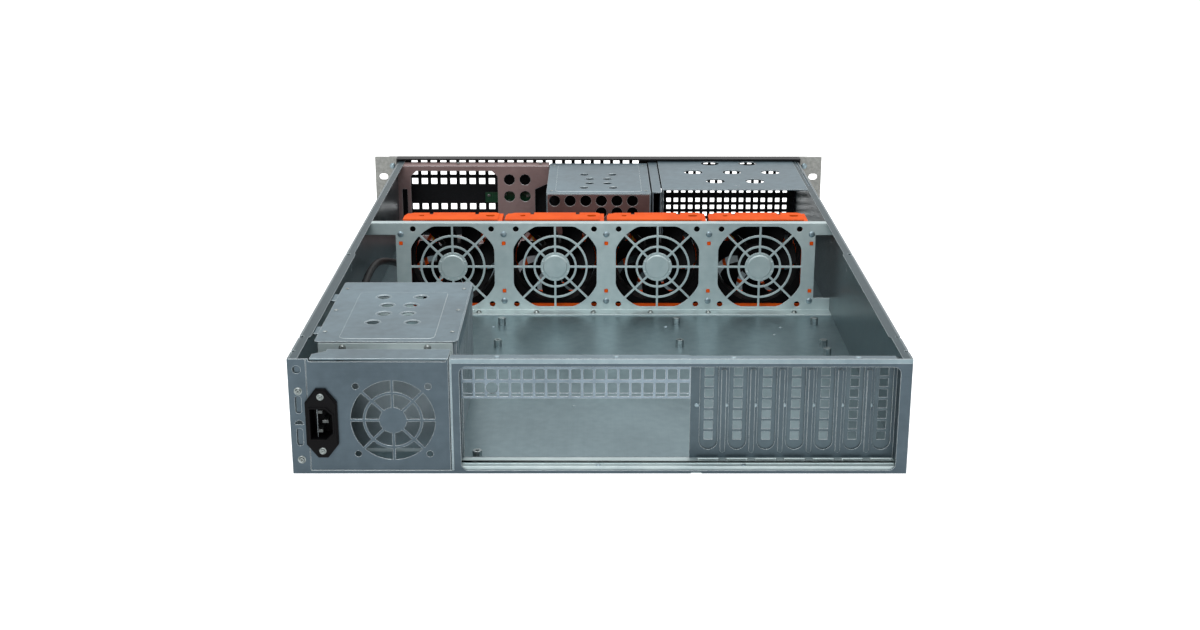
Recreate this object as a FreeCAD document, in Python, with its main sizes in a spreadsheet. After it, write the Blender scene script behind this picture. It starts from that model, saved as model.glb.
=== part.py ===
import FreeCAD, Part
import math
import operator
import os
from types import SimpleNamespace

import Sketcher
from FreeCAD import Placement, Rotation, Vector

# An empty 2U rackmount case, lid off. +X is to the right as seen from behind, +Y runs
# from the rear plane to the front panel, +Z is up and the base rests on Z = 0.

doc = FreeCAD.newDocument("RackCase")

driving_dimensions = {
    # case body
    "case_depth": 660.0,
    "body_width": 430.0,
    "wall_height": 85.0,
    "sheet": 1.2,
    "lip_width": 6.5,
    "wide_lip": 11.0,
    "wide_lip_start": 48.0,
    "wide_lip_end": 272.0,
    "corner_gap": 0.3,
    # front panel and rack ears
    "panel_height": 88.0,
    "panel_sheet": 1.5,
    "panel_return": 13.0,
    "panel_gap": 0.5,
    "panel_flange": 9.0,
    "ear_sheet": 2.0,
    "rack_width": 482.6,
    "rack_hole_spread": 465.1,
    "rack_hole_spacing": 44.45,
    "rack_slot_height": 6.8,
    "rack_slot_width": 9.5,
    "mesh_pitch": 10.4,
    "mesh_hole": 6.7,
    "mesh_start": -199.0,
    "mesh_columns": 9,
    "mesh_top_columns": 24,
    "mesh_top_row": 82.0,
    "mesh_upper_row": 71.2,
    "mesh_lower_row": 32.7,
    "fine_pitch": 7.9,
    "fine_hole": 5.8,
    "fine_start": 84.5,
    "fine_columns": 16,
    "fine_rows": 4,
    "fine_top_row": 50.0,
    # front controls
    "button_radius": 4.0,
    "button_proud": 3.0,
    "button_travel": 1.5,
    "button_clearance": 0.3,
    "stem_side": 3.0,
    "switch_depth": 6.0,
    "control_x": -92.0,
    "control_z": 44.0,
    "port_width": 13.4,
    "port_height": 6.0,
    "board_sheet": 1.6,
    "board_left": -122.0,
    "board_right_edge": -70.0,
    "board_low": 33.0,
    "board_high": 56.0,
    "lamp_width": 3.0,
    "lamp_height": 5.0,
    # rear frame
    "opening_left": -97.0,
    "opening_right": 207.0,
    "opening_bottom": 2.4,
    "opening_top": 79.2,
    "opening_corner": 5.0,
    "strip_width": 12.7,
    "bay_post": 6.6,
    "rear_return": 13.0,
    "rear_return_short": 7.0,
    # removable rear plate with the small fan grille and the inlet
    "plate_return": 20.0,
    "rear_fan_x": -143.6,
    "rear_fan_z": 40.0,
    "rear_fan_spacing": 50.0,
    "rear_fan_hole": 2.3,
    "rear_grille_radius": 29.3,
    "rear_ring_radius": 20.0,
    "rear_hub_radius": 9.0,
    "grille_bar": 2.0,
    "inlet_x": -192.8,
    "inlet_z": 38.3,
    "inlet_screws": 40.0,
    "inlet_flange_width": 22.2,
    "inlet_flange_height": 50.6,
    "inlet_proud": 3.0,
    "inlet_body_width": 19.6,
    "inlet_body_height": 27.0,
    "inlet_body_depth": 17.0,
    "inlet_screw_radius": 2.8,
    # recessed rear wall with the port aperture and expansion slots
    "recess": 12.7,
    "aperture_left": -95.7,
    "aperture_right": 63.05,
    "aperture_bottom": 7.0,
    "aperture_top": 51.45,
    "ledge_step": 6.0,
    "ledge_drop": 2.0,
    "vent_pitch": 8.4,
    "vent_width": 6.8,
    "vent_height": 7.8,
    "vent_columns": 19,
    "vent_start": -92.3,
    "vent_lower_row": 59.3,
    "vent_upper_row": 69.3,
    "slot_first": 76.25,
    "slot_pitch": 20.32,
    "slot_count": 7,
    "slot_opening": 12.8,
    "slot_bottom": 13.2,
    "slot_rib": 3.0,
    "slot_rib_height": 0.8,
    "bridge_width": 15.4,
    "cover_width": 18.4,
    "cover_sheet": 1.0,
    "cover_tab": 11.0,
    "cover_vent": 6.0,
    "cover_vent_pitch": 7.93,
    "cover_vents": 7,
    "cover_vent_first": 23.3,
    # fan wall
    "fan_wall_y": 377.65,
    "fan_count": 4,
    "fan_pitch": 94.04,
    "fan_middle": 6.74,
    "fan_z": 43.7,
    "fan_size": 80.0,
    "fan_depth": 25.0,
    "guard_radius": 42.0,
    "guard_square": 76.5,
    "guard_ring": 29.0,
    "guard_inner_ring": 19.0,
    "guard_hub": 13.5,
    "guard_bar": 1.9,
    "ring_sides": 16,
    "hole_sides": 10,
    "wall_top_flange": 12.0,
    "wall_foot": 15.0,
    "cable_gap_left": -186.0,
    "cable_gap_right": 198.4,
    "cable_gap_bottom": 13.8,
    "cable_gap_top": 74.0,
    "pin_side": 3.4,
    "pin_upper": 66.0,
    "pin_lower": 20.7,
    "fan_screw_spacing": 71.5,
    "fan_screw_hole": 2.6,
    # fans and their holders
    "holder_width": 90.0,
    "holder_depth": 32.0,
    "holder_standoff": 13.0,
    "holder_bottom": 2.5,
    "holder_lug": 8.5,
    "guide_clearance": 0.3,
    "fan_bore": 38.6,
    "rotor_radius": 36.8,
    "rotor_hub": 17.0,
    "rotor_hub_depth": 19.0,
    "rotor_clearance": 0.6,
    "blade_sheet": 1.4,
    "blade_angle": 36.0,
    "blade_count": 7,
    "axle_radius": 1.5,
    "axle_clearance": 0.05,
    # rear drive cage
    "cage_left": -202.5,
    "cage_right": -100.6,
    "cage_rear": 38.0,
    "cage_front": 186.0,
    "cage_lip": 10.0,
    "cage_emboss": 0.6,
    "cage_wall_left": -182.0,
    "cage_hole_radius": 4.6,
    # front bays
    "bay_top": 84.0,
    "bracket_y": 628.0,
    "bracket_right": -52.7,
    "bracket_flange": 20.0,
    "supply_left": -200.0,
    "supply_right": -107.5,
    "supply_bottom": 8.0,
    "supply_top": 78.6,
    "supply_corner": 6.0,
    "drive_cage_left": -51.8,
    "drive_cage_right": 51.6,
    "drive_cage_rear": 501.0,
    "drive_cage_front": 642.0,
    "drive_hole_radius": 5.5,
    "drive_hole_pitch": 15.4,
    "drive_hole_first": -43.6,
    "drive_hole_row": 76.5,
    "drive_hole_lower_row": 64.5,
    "drive_wall_bottom": 42.0,
    "divider_left": 53.2,
    "divider_right": 62.2,
    "divider_rear": 507.0,
    "bay_plate_left": 63.4,
    "bay_plate_rear": 514.0,
    "bay_plate_front": 642.0,
    "bay_hole_radius": 9.75,
    "bay_hole_pitch": 40.3,
    # main board stand-offs
    "standoff_height": 6.5,
    "standoff_flats": 6.0,
    "standoff_bore": 1.5,
    "board_right": 69.86,
    "board_pitch": 157.48,
    "board_wide_pitch": 124.46,
    "board_rear": 24.3,
    "board_row_a": 251.7,
    "board_row_b": 274.5,
    "board_row_c": 337.0,
    # internal power lead
    "lead_diameter": 6.5,
    "lead_plug_length": 26.0,
    "lead_plug_width": 20.0,
    "lead_plug_height": 14.5,
    "lead_grip": 18.0,
    "lead_grip_side": 10.0,
}

sheet = doc.addObject("Spreadsheet::Sheet", "Dimensions")
for row, (alias, number) in enumerate(driving_dimensions.items(), 1):
    sheet.set(f"A{row}", alias)
    sheet.set(f"B{row}", str(number))
    sheet.setAlias(f"B{row}", alias)
doc.recompute()


def formula(quantity):
    """The sheet formula of a size, or a plain number as text."""
    return quantity.formula if isinstance(quantity, Size) else repr(float(quantity))


def arithmetic(sign, operation):
    """A pair of methods that work out a new size and its sheet formula."""
    def left(self, other):
        return Size(operation(float(self), float(other)), f"({formula(self)} {sign} {formula(other)})")

    def right(self, other):
        return Size(operation(float(other), float(self)), f"({formula(other)} {sign} {formula(self)})")

    return left, right


class Size(float):
    """A length or count that remembers the sheet formula it comes from."""

    def __new__(cls, number, text):
        size = super().__new__(cls, number)
        size.formula = text
        return size

    __add__, __radd__ = arithmetic("+", operator.add)
    __sub__, __rsub__ = arithmetic("-", operator.sub)
    __mul__, __rmul__ = arithmetic("*", operator.mul)
    __truediv__, __rtruediv__ = arithmetic("/", operator.truediv)

    def __neg__(self):
        return 0 - self


d = SimpleNamespace(**{alias: Size(number, f"Dimensions.{alias}")
                       for alias, number in driving_dimensions.items()})

# places that several pieces share
rear = (d.inlet_proud - d.button_proud - d.case_depth) / 2
front = rear + d.case_depth
inner_half = d.body_width / 2 - d.sheet
lip_half = d.body_width / 2 - d.lip_width - d.corner_gap
rail_half = d.body_width / 2 - d.wide_lip - d.corner_gap
under_lip = d.wall_height - d.sheet
panel_back = front - d.panel_sheet
fan_wall = rear + d.fan_wall_y
fan_wall_front = fan_wall + d.sheet
fan_first = d.fan_middle - d.fan_pitch * (d.fan_count - 1) / 2
holder_rear = fan_wall_front + d.holder_standoff
fan_rear = holder_rear + d.holder_bottom


def body(label):
    item = doc.addObject("PartDesign::Body", label)
    item.Label = label
    item.AllowCompound = True
    return item


def sketch(owner, role, offset=0.0, u=0.0, v=0.0, turn=0.0):
    """A sketch of its own on one of the body's origin planes, moved and turned in that plane."""
    item = owner.newObject("Sketcher::SketchObject", owner.Label + "_sketch")
    plane = next(feature for feature in owner.Origin.OriginFeatures if feature.Role == role)
    item.AttachmentSupport = [(plane, "")]
    item.MapMode = "FlatFace"
    item.AttachmentOffset = Placement(Vector(u, v, offset), Rotation(Vector(0, 0, 1), turn))
    for axis, distance in zip("xyz", (u, v, offset)):
        item.setExpression(f"AttachmentOffset.Base.{axis}", formula(distance))
    return item


def from_behind(owner, y, x=0.0, z=0.0, turn=0.0):
    """A sketch in X and Z at depth y, whose normal points to the rear."""
    return sketch(owner, "XZ_Plane", -y, x, z, turn)


def from_above(owner, z, x=0.0, y=0.0):
    """A sketch in X and Y at height z, whose normal points up."""
    return sketch(owner, "XY_Plane", z, x, y)


def from_side(owner, x):
    """A sketch in Y and Z at station x, whose normal points to +X."""
    return sketch(owner, "YZ_Plane", x)


def bind(item, *rows):
    """Adds constraints together, each a kind, a bound value and what it refers to."""
    first = item.ConstraintCount
    item.addConstraint([Sketcher.Constraint(kind, *references, float(value))
                        for kind, value, *references in rows])
    for index, (_, value, *_) in enumerate(rows, first):
        item.setExpression(f"Constraints[{index}]", formula(value))


def pins(geometry, vertex, x, y):
    """The two rows that tie one vertex of a sketch to its coordinates."""
    return ("DistanceX", x, -1, 1, geometry, vertex), ("DistanceY", y, -1, 1, geometry, vertex)


def polygon(item, *points):
    """A closed outline through the points."""
    first = item.GeometryCount
    count = len(points)
    item.addGeometry([Part.LineSegment(Vector(*here, 0), Vector(*there, 0))
                      for here, there in zip(points, points[1:] + points[:1])])
    item.addConstraint([Sketcher.Constraint("Coincident", first + index, 2, first + (index + 1) % count, 1)
                        for index in range(count)])
    bind(item, *[row for index, (x, y) in enumerate(points) for row in pins(first + index, 1, x, y)])


def rectangle(item, left, bottom, right, top):
    polygon(item, (left, bottom), (right, bottom), (right, top), (left, top))


def square(item, x, y, side):
    half = side / 2
    rectangle(item, x - half, y - half, x + half, y + half)


def circle(item, x, y, radius):
    index = item.addGeometry(Part.Circle(Vector(x, y, 0), Vector(0, 0, 1), radius))
    bind(item, *pins(index, 3, x, y), ("Radius", radius, index))


def ring(item, x, y, radius, sides, shift=0.5):
    """A round outline as a regular polygon, which keeps a piece with many of them light."""
    count = int(sides)
    turns = [2 * math.pi * (index + shift) / count for index in range(count)]
    polygon(item, *[(x + radius * math.cos(turn), y + radius * math.sin(turn)) for turn in turns])


def obround(item, x, y, width, height):
    """A slot with round ends, wider than high."""
    reach = (width - height) / 2
    radius = height / 2
    normal = Vector(0, 0, 1)
    arcs = []
    for side, start in ((1, -math.pi / 2), (-1, math.pi / 2)):
        centre = Part.Circle(Vector(x + side * reach, y, 0), normal, radius)
        arcs.append(item.addGeometry(Part.ArcOfCircle(centre, start, start + math.pi)))
    top = item.addGeometry(Part.LineSegment(
        Vector(x + reach, y + radius, 0), Vector(x - reach, y + radius, 0)))
    bottom = item.addGeometry(Part.LineSegment(
        Vector(x - reach, y - radius, 0), Vector(x + reach, y - radius, 0)))
    for line, begin, end in ((top, arcs[0], arcs[1]), (bottom, arcs[1], arcs[0])):
        item.addConstraint(Sketcher.Constraint("Tangent", begin, 2, line, 1))
        item.addConstraint(Sketcher.Constraint("Tangent", line, 2, end, 1))
    bind(item, *pins(arcs[0], 3, x + reach, y), *pins(arcs[1], 3, x - reach, y), ("Radius", radius, arcs[0]))


def pad(owner, profile, length, forward=False, both=False):
    """Material from the sketch along its normal, or against it, or both ways."""
    feature = owner.newObject("PartDesign::Pad", owner.Label + "_pad")
    feature.Profile = profile
    feature.setExpression("Length", formula(length))
    feature.Reversed = forward
    feature.Midplane = both
    owner.Tip = feature
    return feature


def cut(owner, profile, reach):
    """A pocket that reaches the same way to both sides of its sketch."""
    feature = owner.newObject("PartDesign::Pocket", owner.Label + "_cut")
    feature.Profile = profile
    feature.Midplane = True
    feature.setExpression("Length", formula(2 * reach))
    owner.Tip = feature
    return feature


def repeat(owner, features, profile, pitch, count):
    """Copies of the features in columns along the sketch's horizontal axis."""
    feature = owner.newObject("PartDesign::LinearPattern", owner.Label + "_grid")
    feature.Originals = features
    feature.Direction = (profile, ["H_Axis"])
    feature.Mode = "Spacing"
    feature.setExpression("Offset", formula(pitch))
    feature.setExpression("Occurrences", formula(count))
    owner.Tip = feature
    return feature


def around(owner, features, profile, count):
    """Copies of the features about the sketch's own normal through its origin."""
    feature = owner.newObject("PartDesign::PolarPattern", owner.Label + "_ring")
    feature.Originals = features
    feature.Axis = (profile, ["N_Axis"])
    feature.Angle = 360
    feature.setExpression("Occurrences", formula(count))
    owner.Tip = feature
    return feature


def guard(owner, y, x, z, opening, rings, hub, bar):
    """A stamped finger guard: an opening crossed by four bars, rings and a hub disc."""
    features = [opening]
    for turn in range(0, 180, 45):
        spoke = from_behind(owner, y, x, z, turn)
        reach = rings[-1] + bar
        rectangle(spoke, -reach, -bar / 2, reach, bar / 2)
        features.append(pad(owner, spoke, d.sheet, forward=True))
    for radius in rings[:-1]:
        band = from_behind(owner, y, x, z)
        ring(band, 0, 0, radius + bar / 2, d.ring_sides, shift=0)
        ring(band, 0, 0, radius - bar / 2, d.ring_sides, shift=0)
        features.append(pad(owner, band, d.sheet, forward=True))
    disc = from_behind(owner, y, x, z)
    ring(disc, 0, 0, hub, d.ring_sides, shift=0)
    features.append(pad(owner, disc, d.sheet, forward=True))
    return features


def vent_holes(owner, height, radius, places, sides):
    """One many-sided hole at each place in a flat top."""
    for x, y in places:
        hole = from_above(owner, height, x, y)
        ring(hole, 0, 0, radius, sides)
        cut(owner, hole, 1.5 * d.sheet)


def drive_vents(x, y, pitch):
    """Eight places in an hourglass, as both drive cages have them."""
    return [(x + side * reach, y + level * pitch)
            for side in (-1, 1) for level, reach in ((-1.5, 14.5), (-0.5, 9), (0.5, 9), (1.5, 14.5))]


def box(label, low, high):
    """A bound block between two corners."""
    item = doc.addObject("Part::Box", label)
    for prop, axis, start, end in zip(("Length", "Width", "Height"), "xyz", low, high):
        item.setExpression(prop, formula(end - start))
        item.setExpression(f"Placement.Base.{axis}", formula(start))
    return item


def rod(label, axis, base, radius, length):
    """A bound cylinder that starts at base and runs along +Y or +Z."""
    item = doc.addObject("Part::Cylinder", label)
    if axis == "y":
        item.Placement.Rotation = Rotation(Vector(1, 0, 0), -90)
    item.setExpression("Radius", formula(radius))
    item.setExpression("Height", formula(length))
    for name, distance in zip("xyz", base):
        item.setExpression(f"Placement.Base.{name}", formula(distance))
    return item


def joined(label, kind, members):
    """A fuse or a group of separate solids from bound members."""
    item = doc.addObject(kind, label)
    item.Label = label
    if kind == "Part::Compound":
        item.Links = members
    else:
        item.Shapes = members
    return item


def moved(item, x=None, y=None, z=None):
    for axis, distance in zip("xyz", (x, y, z)):
        if distance is not None:
            item.setExpression(f"Placement.Base.{axis}", formula(distance))
    return item


# folded tub: floor, side walls and the inward lips that carry the lid
def chassis_tub():
    tub = body("chassis_tub")
    profile = from_behind(tub, rear + d.sheet)
    half = d.body_width / 2
    lip = half - d.wide_lip
    polygon(profile,
            (-half, 0), (half, 0), (half, d.wall_height), (lip, d.wall_height), (lip, under_lip),
            (inner_half, under_lip), (inner_half, d.sheet), (-inner_half, d.sheet),
            (-inner_half, under_lip), (-lip, under_lip), (-lip, d.wall_height), (-half, d.wall_height))
    pad(tub, profile, d.case_depth - d.sheet - d.panel_sheet, forward=True)
    trim = from_above(tub, d.wall_height)
    narrow = half - d.lip_width
    for side in (-1, 1):
        for start, end in ((0, d.wide_lip_start), (d.wide_lip_end, d.case_depth)):
            left, right = sorted((side * (lip - d.corner_gap), side * narrow))
            rectangle(trim, left, rear + start, right, rear + end)
    cut(tub, trim, 1.5 * d.sheet)
    return tub


# rear frame: port opening, bay for the removable plate and the top return
def rear_frame():
    frame = body("rear_frame")
    outline = from_behind(frame, rear)
    half = d.body_width / 2
    bay_left = -half + d.strip_width
    bay_right = d.opening_left - d.bay_post
    polygon(outline, (-half, 0), (half, 0), (half, d.wall_height), (bay_right, d.wall_height),
            (bay_right, d.opening_bottom), (bay_left, d.opening_bottom), (bay_left, d.wall_height),
            (-half, d.wall_height))
    pad(frame, outline, d.sheet, forward=True)
    window = from_behind(frame, rear)
    left, right, low, high = d.opening_left, d.opening_right, d.opening_bottom, d.opening_top
    corner = d.opening_corner * (1 - math.sqrt(0.5))
    reach = d.opening_corner
    polygon(window, (left + reach, low), (right - reach, low), (right - corner, low + corner),
            (right, low + reach), (right, high - reach), (right - corner, high - corner),
            (right - reach, high), (left + reach, high), (left + corner, high - corner),
            (left, high - reach), (left, low + reach), (left + corner, low + corner))
    cut(frame, window, 2 * d.sheet)
    top = from_above(frame, d.wall_height)
    polygon(top, (bay_right, rear + d.sheet), (rail_half, rear + d.sheet),
            (rail_half, rear + d.rear_return_short), (d.aperture_right, rear + d.rear_return_short),
            (d.aperture_right, rear + d.rear_return), (bay_right, rear + d.rear_return))
    pad(frame, top, d.sheet, forward=True)
    strip = from_behind(frame, rear)
    strip_x = bay_left - d.strip_width / 2
    circle(strip, strip_x, d.inlet_z, d.rear_fan_hole)
    cut(frame, strip, 2 * d.sheet)
    return frame


# removable rear plate: finger guard for the small fan, inlet cut-out, top return and side tab
def rear_plate():
    plate = body("rear_plate")
    left = -d.body_width / 2 + d.strip_width + d.corner_gap
    right = d.opening_left - d.bay_post - d.corner_gap
    low = d.opening_bottom + d.corner_gap
    outline = from_behind(plate, rear)
    rectangle(outline, left, low, right, d.wall_height)
    pad(plate, outline, d.sheet, forward=True)
    top = from_above(plate, d.wall_height)
    rectangle(top, left, rear + d.sheet, right, rear + d.plate_return)
    pad(plate, top, d.sheet, forward=True)
    tab = from_behind(plate, rear + d.sheet)
    rectangle(tab, -rail_half - d.lip_width, low + d.sheet, left + d.strip_width / 2, under_lip - d.sheet)
    pad(plate, tab, d.sheet, forward=True)
    inlet = from_behind(plate, rear)
    half = d.inlet_body_width / 2
    rise = d.inlet_body_height / 2
    rectangle(inlet, d.inlet_x - half, d.inlet_z - rise, d.inlet_x + half, d.inlet_z + rise)
    cut(plate, inlet, 3 * d.sheet)
    grille = from_behind(plate, rear, d.rear_fan_x, d.rear_fan_z)
    ring(grille, 0, 0, d.rear_grille_radius, 2 * d.ring_sides)
    opening = cut(plate, grille, 2 * d.sheet)
    guard(plate, rear, d.rear_fan_x, d.rear_fan_z, opening,
          (d.rear_ring_radius, d.rear_grille_radius), d.rear_hub_radius, d.grille_bar)
    holes = from_behind(plate, rear, d.rear_fan_x, d.rear_fan_z)
    reach = d.rear_fan_spacing / 2
    for side in (-1, 1):
        for level in (-1, 1):
            circle(holes, side * reach, level * reach, d.rear_fan_hole)
    cut(plate, holes, 2 * d.sheet)
    return plate


# appliance inlet: pointed flange, recessed socket and body through the plate
def power_inlet():
    inlet = body("power_inlet")
    half = d.inlet_flange_width / 2
    rise = d.inlet_flange_height / 2
    shoulder = d.inlet_body_height / 2 - 1
    flange = from_behind(inlet, rear, d.inlet_x, d.inlet_z)
    nose = d.inlet_screw_radius
    polygon(flange, (-half, -shoulder), (-nose, -rise), (nose, -rise), (half, -shoulder),
            (half, shoulder), (nose, rise), (-nose, rise), (-half, shoulder))
    pad(inlet, flange, d.inlet_proud)
    shell = from_behind(inlet, rear, d.inlet_x, d.inlet_z)
    side = d.inlet_body_width / 2 - d.corner_gap
    level = d.inlet_body_height / 2 - d.corner_gap
    rectangle(shell, -side, -level, side, level)
    pad(inlet, shell, d.inlet_body_depth, forward=True)
    socket = from_behind(inlet, rear - d.inlet_proud, d.inlet_x, d.inlet_z)
    inset = side - 2
    depth = level - 2
    bevel = 4.5
    polygon(socket, (-inset, -depth), (inset - bevel, -depth), (inset, -depth + bevel),
            (inset, depth - bevel), (inset - bevel, depth), (-inset, depth))
    cut(inlet, socket, d.inlet_body_depth)
    return inlet


def inlet_pins():
    floor = rear + d.inlet_body_depth - d.inlet_proud
    start = rear + 2
    pins = []
    for offset, level in ((-2, -7), (2, 0), (-2, 7)):
        x = d.inlet_x + offset
        z = d.inlet_z + level
        pins.append(box("inlet_pin", (x - 2, start, z - 1), (x + 2, floor, z + 1)))
    return joined("inlet_pins", "Part::Compound", pins)


# recessed wall: stepped ledge, port aperture, vent grid and slot openings
def io_wall():
    wall = body("io_wall")
    t = d.sheet
    near = rear + t
    step = rear + d.ledge_step
    face = rear + d.recess
    ledge = d.aperture_bottom
    shelf = d.opening_top + t
    left = d.opening_left - t
    profile = from_side(wall, left)
    polygon(profile,
            (near, ledge - d.ledge_drop), (step, ledge - d.ledge_drop), (step, ledge), (face, ledge),
            (face, d.opening_top), (near, d.opening_top), (near, shelf), (face + t, shelf),
            (face + t, ledge - t), (step + t, ledge - t), (step + t, ledge - d.ledge_drop - t),
            (near, ledge - d.ledge_drop - t))
    pad(wall, profile, d.opening_right - left + t)
    for x in (left, d.opening_right):
        cheek = from_side(wall, x)
        rectangle(cheek, near, ledge - d.ledge_drop, face, d.opening_top)
        pad(wall, cheek, t)
    ports = from_behind(wall, face)
    rectangle(ports, d.aperture_left, d.aperture_bottom, d.aperture_right, d.aperture_top)
    cut(wall, ports, 2 * t)
    vent = from_behind(wall, face)
    half = d.vent_width / 2
    rise = d.vent_height / 2
    for level in (d.vent_lower_row, d.vent_upper_row):
        rectangle(vent, d.vent_start - half, level - rise, d.vent_start + half, level + rise)
    rows = cut(wall, vent, 2 * t)
    repeat(wall, [rows], vent, d.vent_pitch, d.vent_columns)
    opening = from_behind(wall, face)
    width = d.slot_opening / 2
    top = d.opening_top - 2.5
    centre = d.slot_bottom + width
    rounded = [(d.slot_first + width * math.cos(turn), centre + width * math.sin(turn))
               for turn in (math.pi * step / 6 for step in range(6, 13))]
    polygon(opening, *rounded, (d.slot_first + width, top), (d.slot_first - width, top))
    slots = cut(wall, opening, 2 * t)
    repeat(wall, [slots], opening, d.slot_pitch, d.slot_count)
    rib = from_behind(wall, face)
    middle = d.slot_first + d.slot_pitch / 2
    rectangle(rib, middle - d.slot_rib / 2, ledge + 4, middle + d.slot_rib / 2, top - 3)
    ribs = pad(wall, rib, d.slot_rib_height)
    repeat(wall, [ribs], rib, d.slot_pitch, d.slot_count - 1)
    bridge = from_above(wall, ledge, d.slot_first)
    half = d.bridge_width / 2
    rectangle(bridge, -half, step + 1, half, face - 2)
    bridges = pad(wall, bridge, t)
    repeat(wall, [bridges], bridge, d.slot_pitch, d.slot_count)
    return wall


# slot cover: vented strip behind the wall with a tab folded back over the shelf
def slot_cover(number):
    cover = body(f"slot_cover_{number}")
    face = rear + d.recess + d.sheet
    shelf = d.opening_top + d.sheet
    half = d.cover_width / 2
    neck = d.slot_opening / 2
    foot = d.sheet + d.corner_gap
    strip = from_behind(cover, face)
    polygon(strip, (-neck, foot), (neck, foot), (neck, d.slot_bottom - 4), (half, d.slot_bottom),
            (half, shelf + d.cover_sheet), (-half, shelf + d.cover_sheet), (-half, d.slot_bottom),
            (-neck, d.slot_bottom - 4))
    pad(cover, strip, d.cover_sheet, forward=True)
    tab = from_above(cover, shelf)
    rectangle(tab, -half, face - d.cover_tab, half, face)
    pad(cover, tab, d.cover_sheet)
    vent = from_behind(cover, face)
    for row in range(int(d.cover_vents)):
        square(vent, 0, d.cover_vent_first + row * d.cover_vent_pitch, d.cover_vent)
    cut(cover, vent, 2 * d.cover_sheet)
    return moved(cover, x=d.slot_first + (number - 1) * d.slot_pitch)


# fan wall: stamped middle with a foot and a top flange, and straps over and under the cable gaps
def fan_wall_sheet():
    return joined("fan_wall", "Part::Compound", [wall_middle()] + wall_straps())


def wall_straps():
    """Two folded straps at each end, from the middle to the side wall."""
    t = d.sheet
    straps = []
    for left, right in ((-inner_half, d.cable_gap_left), (d.cable_gap_right, inner_half)):
        upper = body("upper_strap")
        section = from_side(upper, left)
        polygon(section, (fan_wall, d.cable_gap_top), (fan_wall_front, d.cable_gap_top),
                (fan_wall_front, under_lip), (fan_wall + d.wall_top_flange, under_lip),
                (fan_wall + d.wall_top_flange, d.wall_height), (fan_wall, d.wall_height))
        pad(upper, section, right - left)
        beside_lip = from_behind(upper, fan_wall)
        near, far = (left - t, -lip_half) if left < 0 else (lip_half, right + t)
        rectangle(beside_lip, near, under_lip - d.corner_gap, far, d.wall_height + t)
        cut(upper, beside_lip, d.wall_foot + t)
        lower = body("lower_strap")
        section = from_side(lower, left)
        polygon(section, (fan_wall - d.wall_foot, t), (fan_wall_front, t), (fan_wall_front, d.cable_gap_bottom),
                (fan_wall, d.cable_gap_bottom), (fan_wall, 2 * t), (fan_wall - d.wall_foot, 2 * t))
        pad(lower, section, right - left)
        straps += [upper, lower]
    return straps


def wall_middle():
    """The sheet between the cable gaps, with four stamped guards and holes for screws and pins."""
    wall = body("wall_middle")
    t = d.sheet
    profile = from_side(wall, d.cable_gap_left)
    polygon(profile, (fan_wall - d.wall_foot, t), (fan_wall_front, t), (fan_wall_front, under_lip),
            (fan_wall + d.wall_top_flange, under_lip), (fan_wall + d.wall_top_flange, d.wall_height),
            (fan_wall, d.wall_height), (fan_wall, 2 * t), (fan_wall - d.wall_foot, 2 * t))
    pad(wall, profile, d.cable_gap_right - d.cable_gap_left)
    window = from_behind(wall, fan_wall, fan_first, d.fan_z)
    flat = d.guard_square / 2
    shoulder = math.sqrt(float(d.guard_radius) ** 2 - float(flat) ** 2)
    diagonal = d.guard_radius * math.sqrt(0.5)
    corners = ((1, 1), (-1, 1), (-1, -1), (1, -1))
    arcs = []
    for sx, sy in corners:
        ends_of_arc = [Vector(sx * flat, sy * shoulder, 0), Vector(sx * shoulder, sy * flat, 0)]
        if sx * sy < 0:
            ends_of_arc.reverse()
        middle = Vector(sx * diagonal, sy * diagonal, 0)
        arcs.append(window.addGeometry(Part.Arc(ends_of_arc[0], middle, ends_of_arc[1])))
    lines = []
    for index, arc in enumerate(arcs):
        following = arcs[(index + 1) % 4]
        begin = window.getPoint(arc, 2)
        end = window.getPoint(following, 1)
        lines.append(window.addGeometry(Part.LineSegment(begin, end)))
        window.addConstraint(Sketcher.Constraint("Coincident", arc, 2, lines[-1], 1))
        window.addConstraint(Sketcher.Constraint("Coincident", lines[-1], 2, following, 1))
        kind = "Horizontal" if index % 2 == 0 else "Vertical"
        window.addConstraint(Sketcher.Constraint(kind, lines[-1]))
        bind(window, *pins(arc, 3, 0, 0), ("Radius", d.guard_radius, arc))
    bind(window, *[(axis, place, -1, 1, line, 1) for line, axis, place in zip(
        lines, ("DistanceY", "DistanceX") * 2, (flat, -flat, -flat, flat))])
    opening = cut(wall, window, 2 * t)
    features = guard(wall, fan_wall, fan_first, d.fan_z, opening,
                     (d.guard_ring, d.guard_inner_ring, flat - d.guard_bar / 2), d.guard_hub, d.guard_bar)
    repeat(wall, features, window, d.fan_pitch, d.fan_count)
    screws = from_behind(wall, fan_wall, fan_first, d.fan_z)
    corner = d.fan_screw_spacing / 2
    for sx, sy in corners:
        ring(screws, sx * corner, sy * corner, d.fan_screw_hole, 6)
    screw_holes = cut(wall, screws, 2 * t)
    repeat(wall, [screw_holes], screws, d.fan_pitch, d.fan_count)
    pegs = from_behind(wall, fan_wall, fan_first - d.fan_pitch / 2)
    for level in (d.pin_upper, d.pin_lower):
        square(pegs, 0, level, d.pin_side)
    peg_holes = cut(wall, pegs, 2 * t)
    repeat(wall, [peg_holes], pegs, d.fan_pitch, d.fan_count + 1)
    return wall


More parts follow.
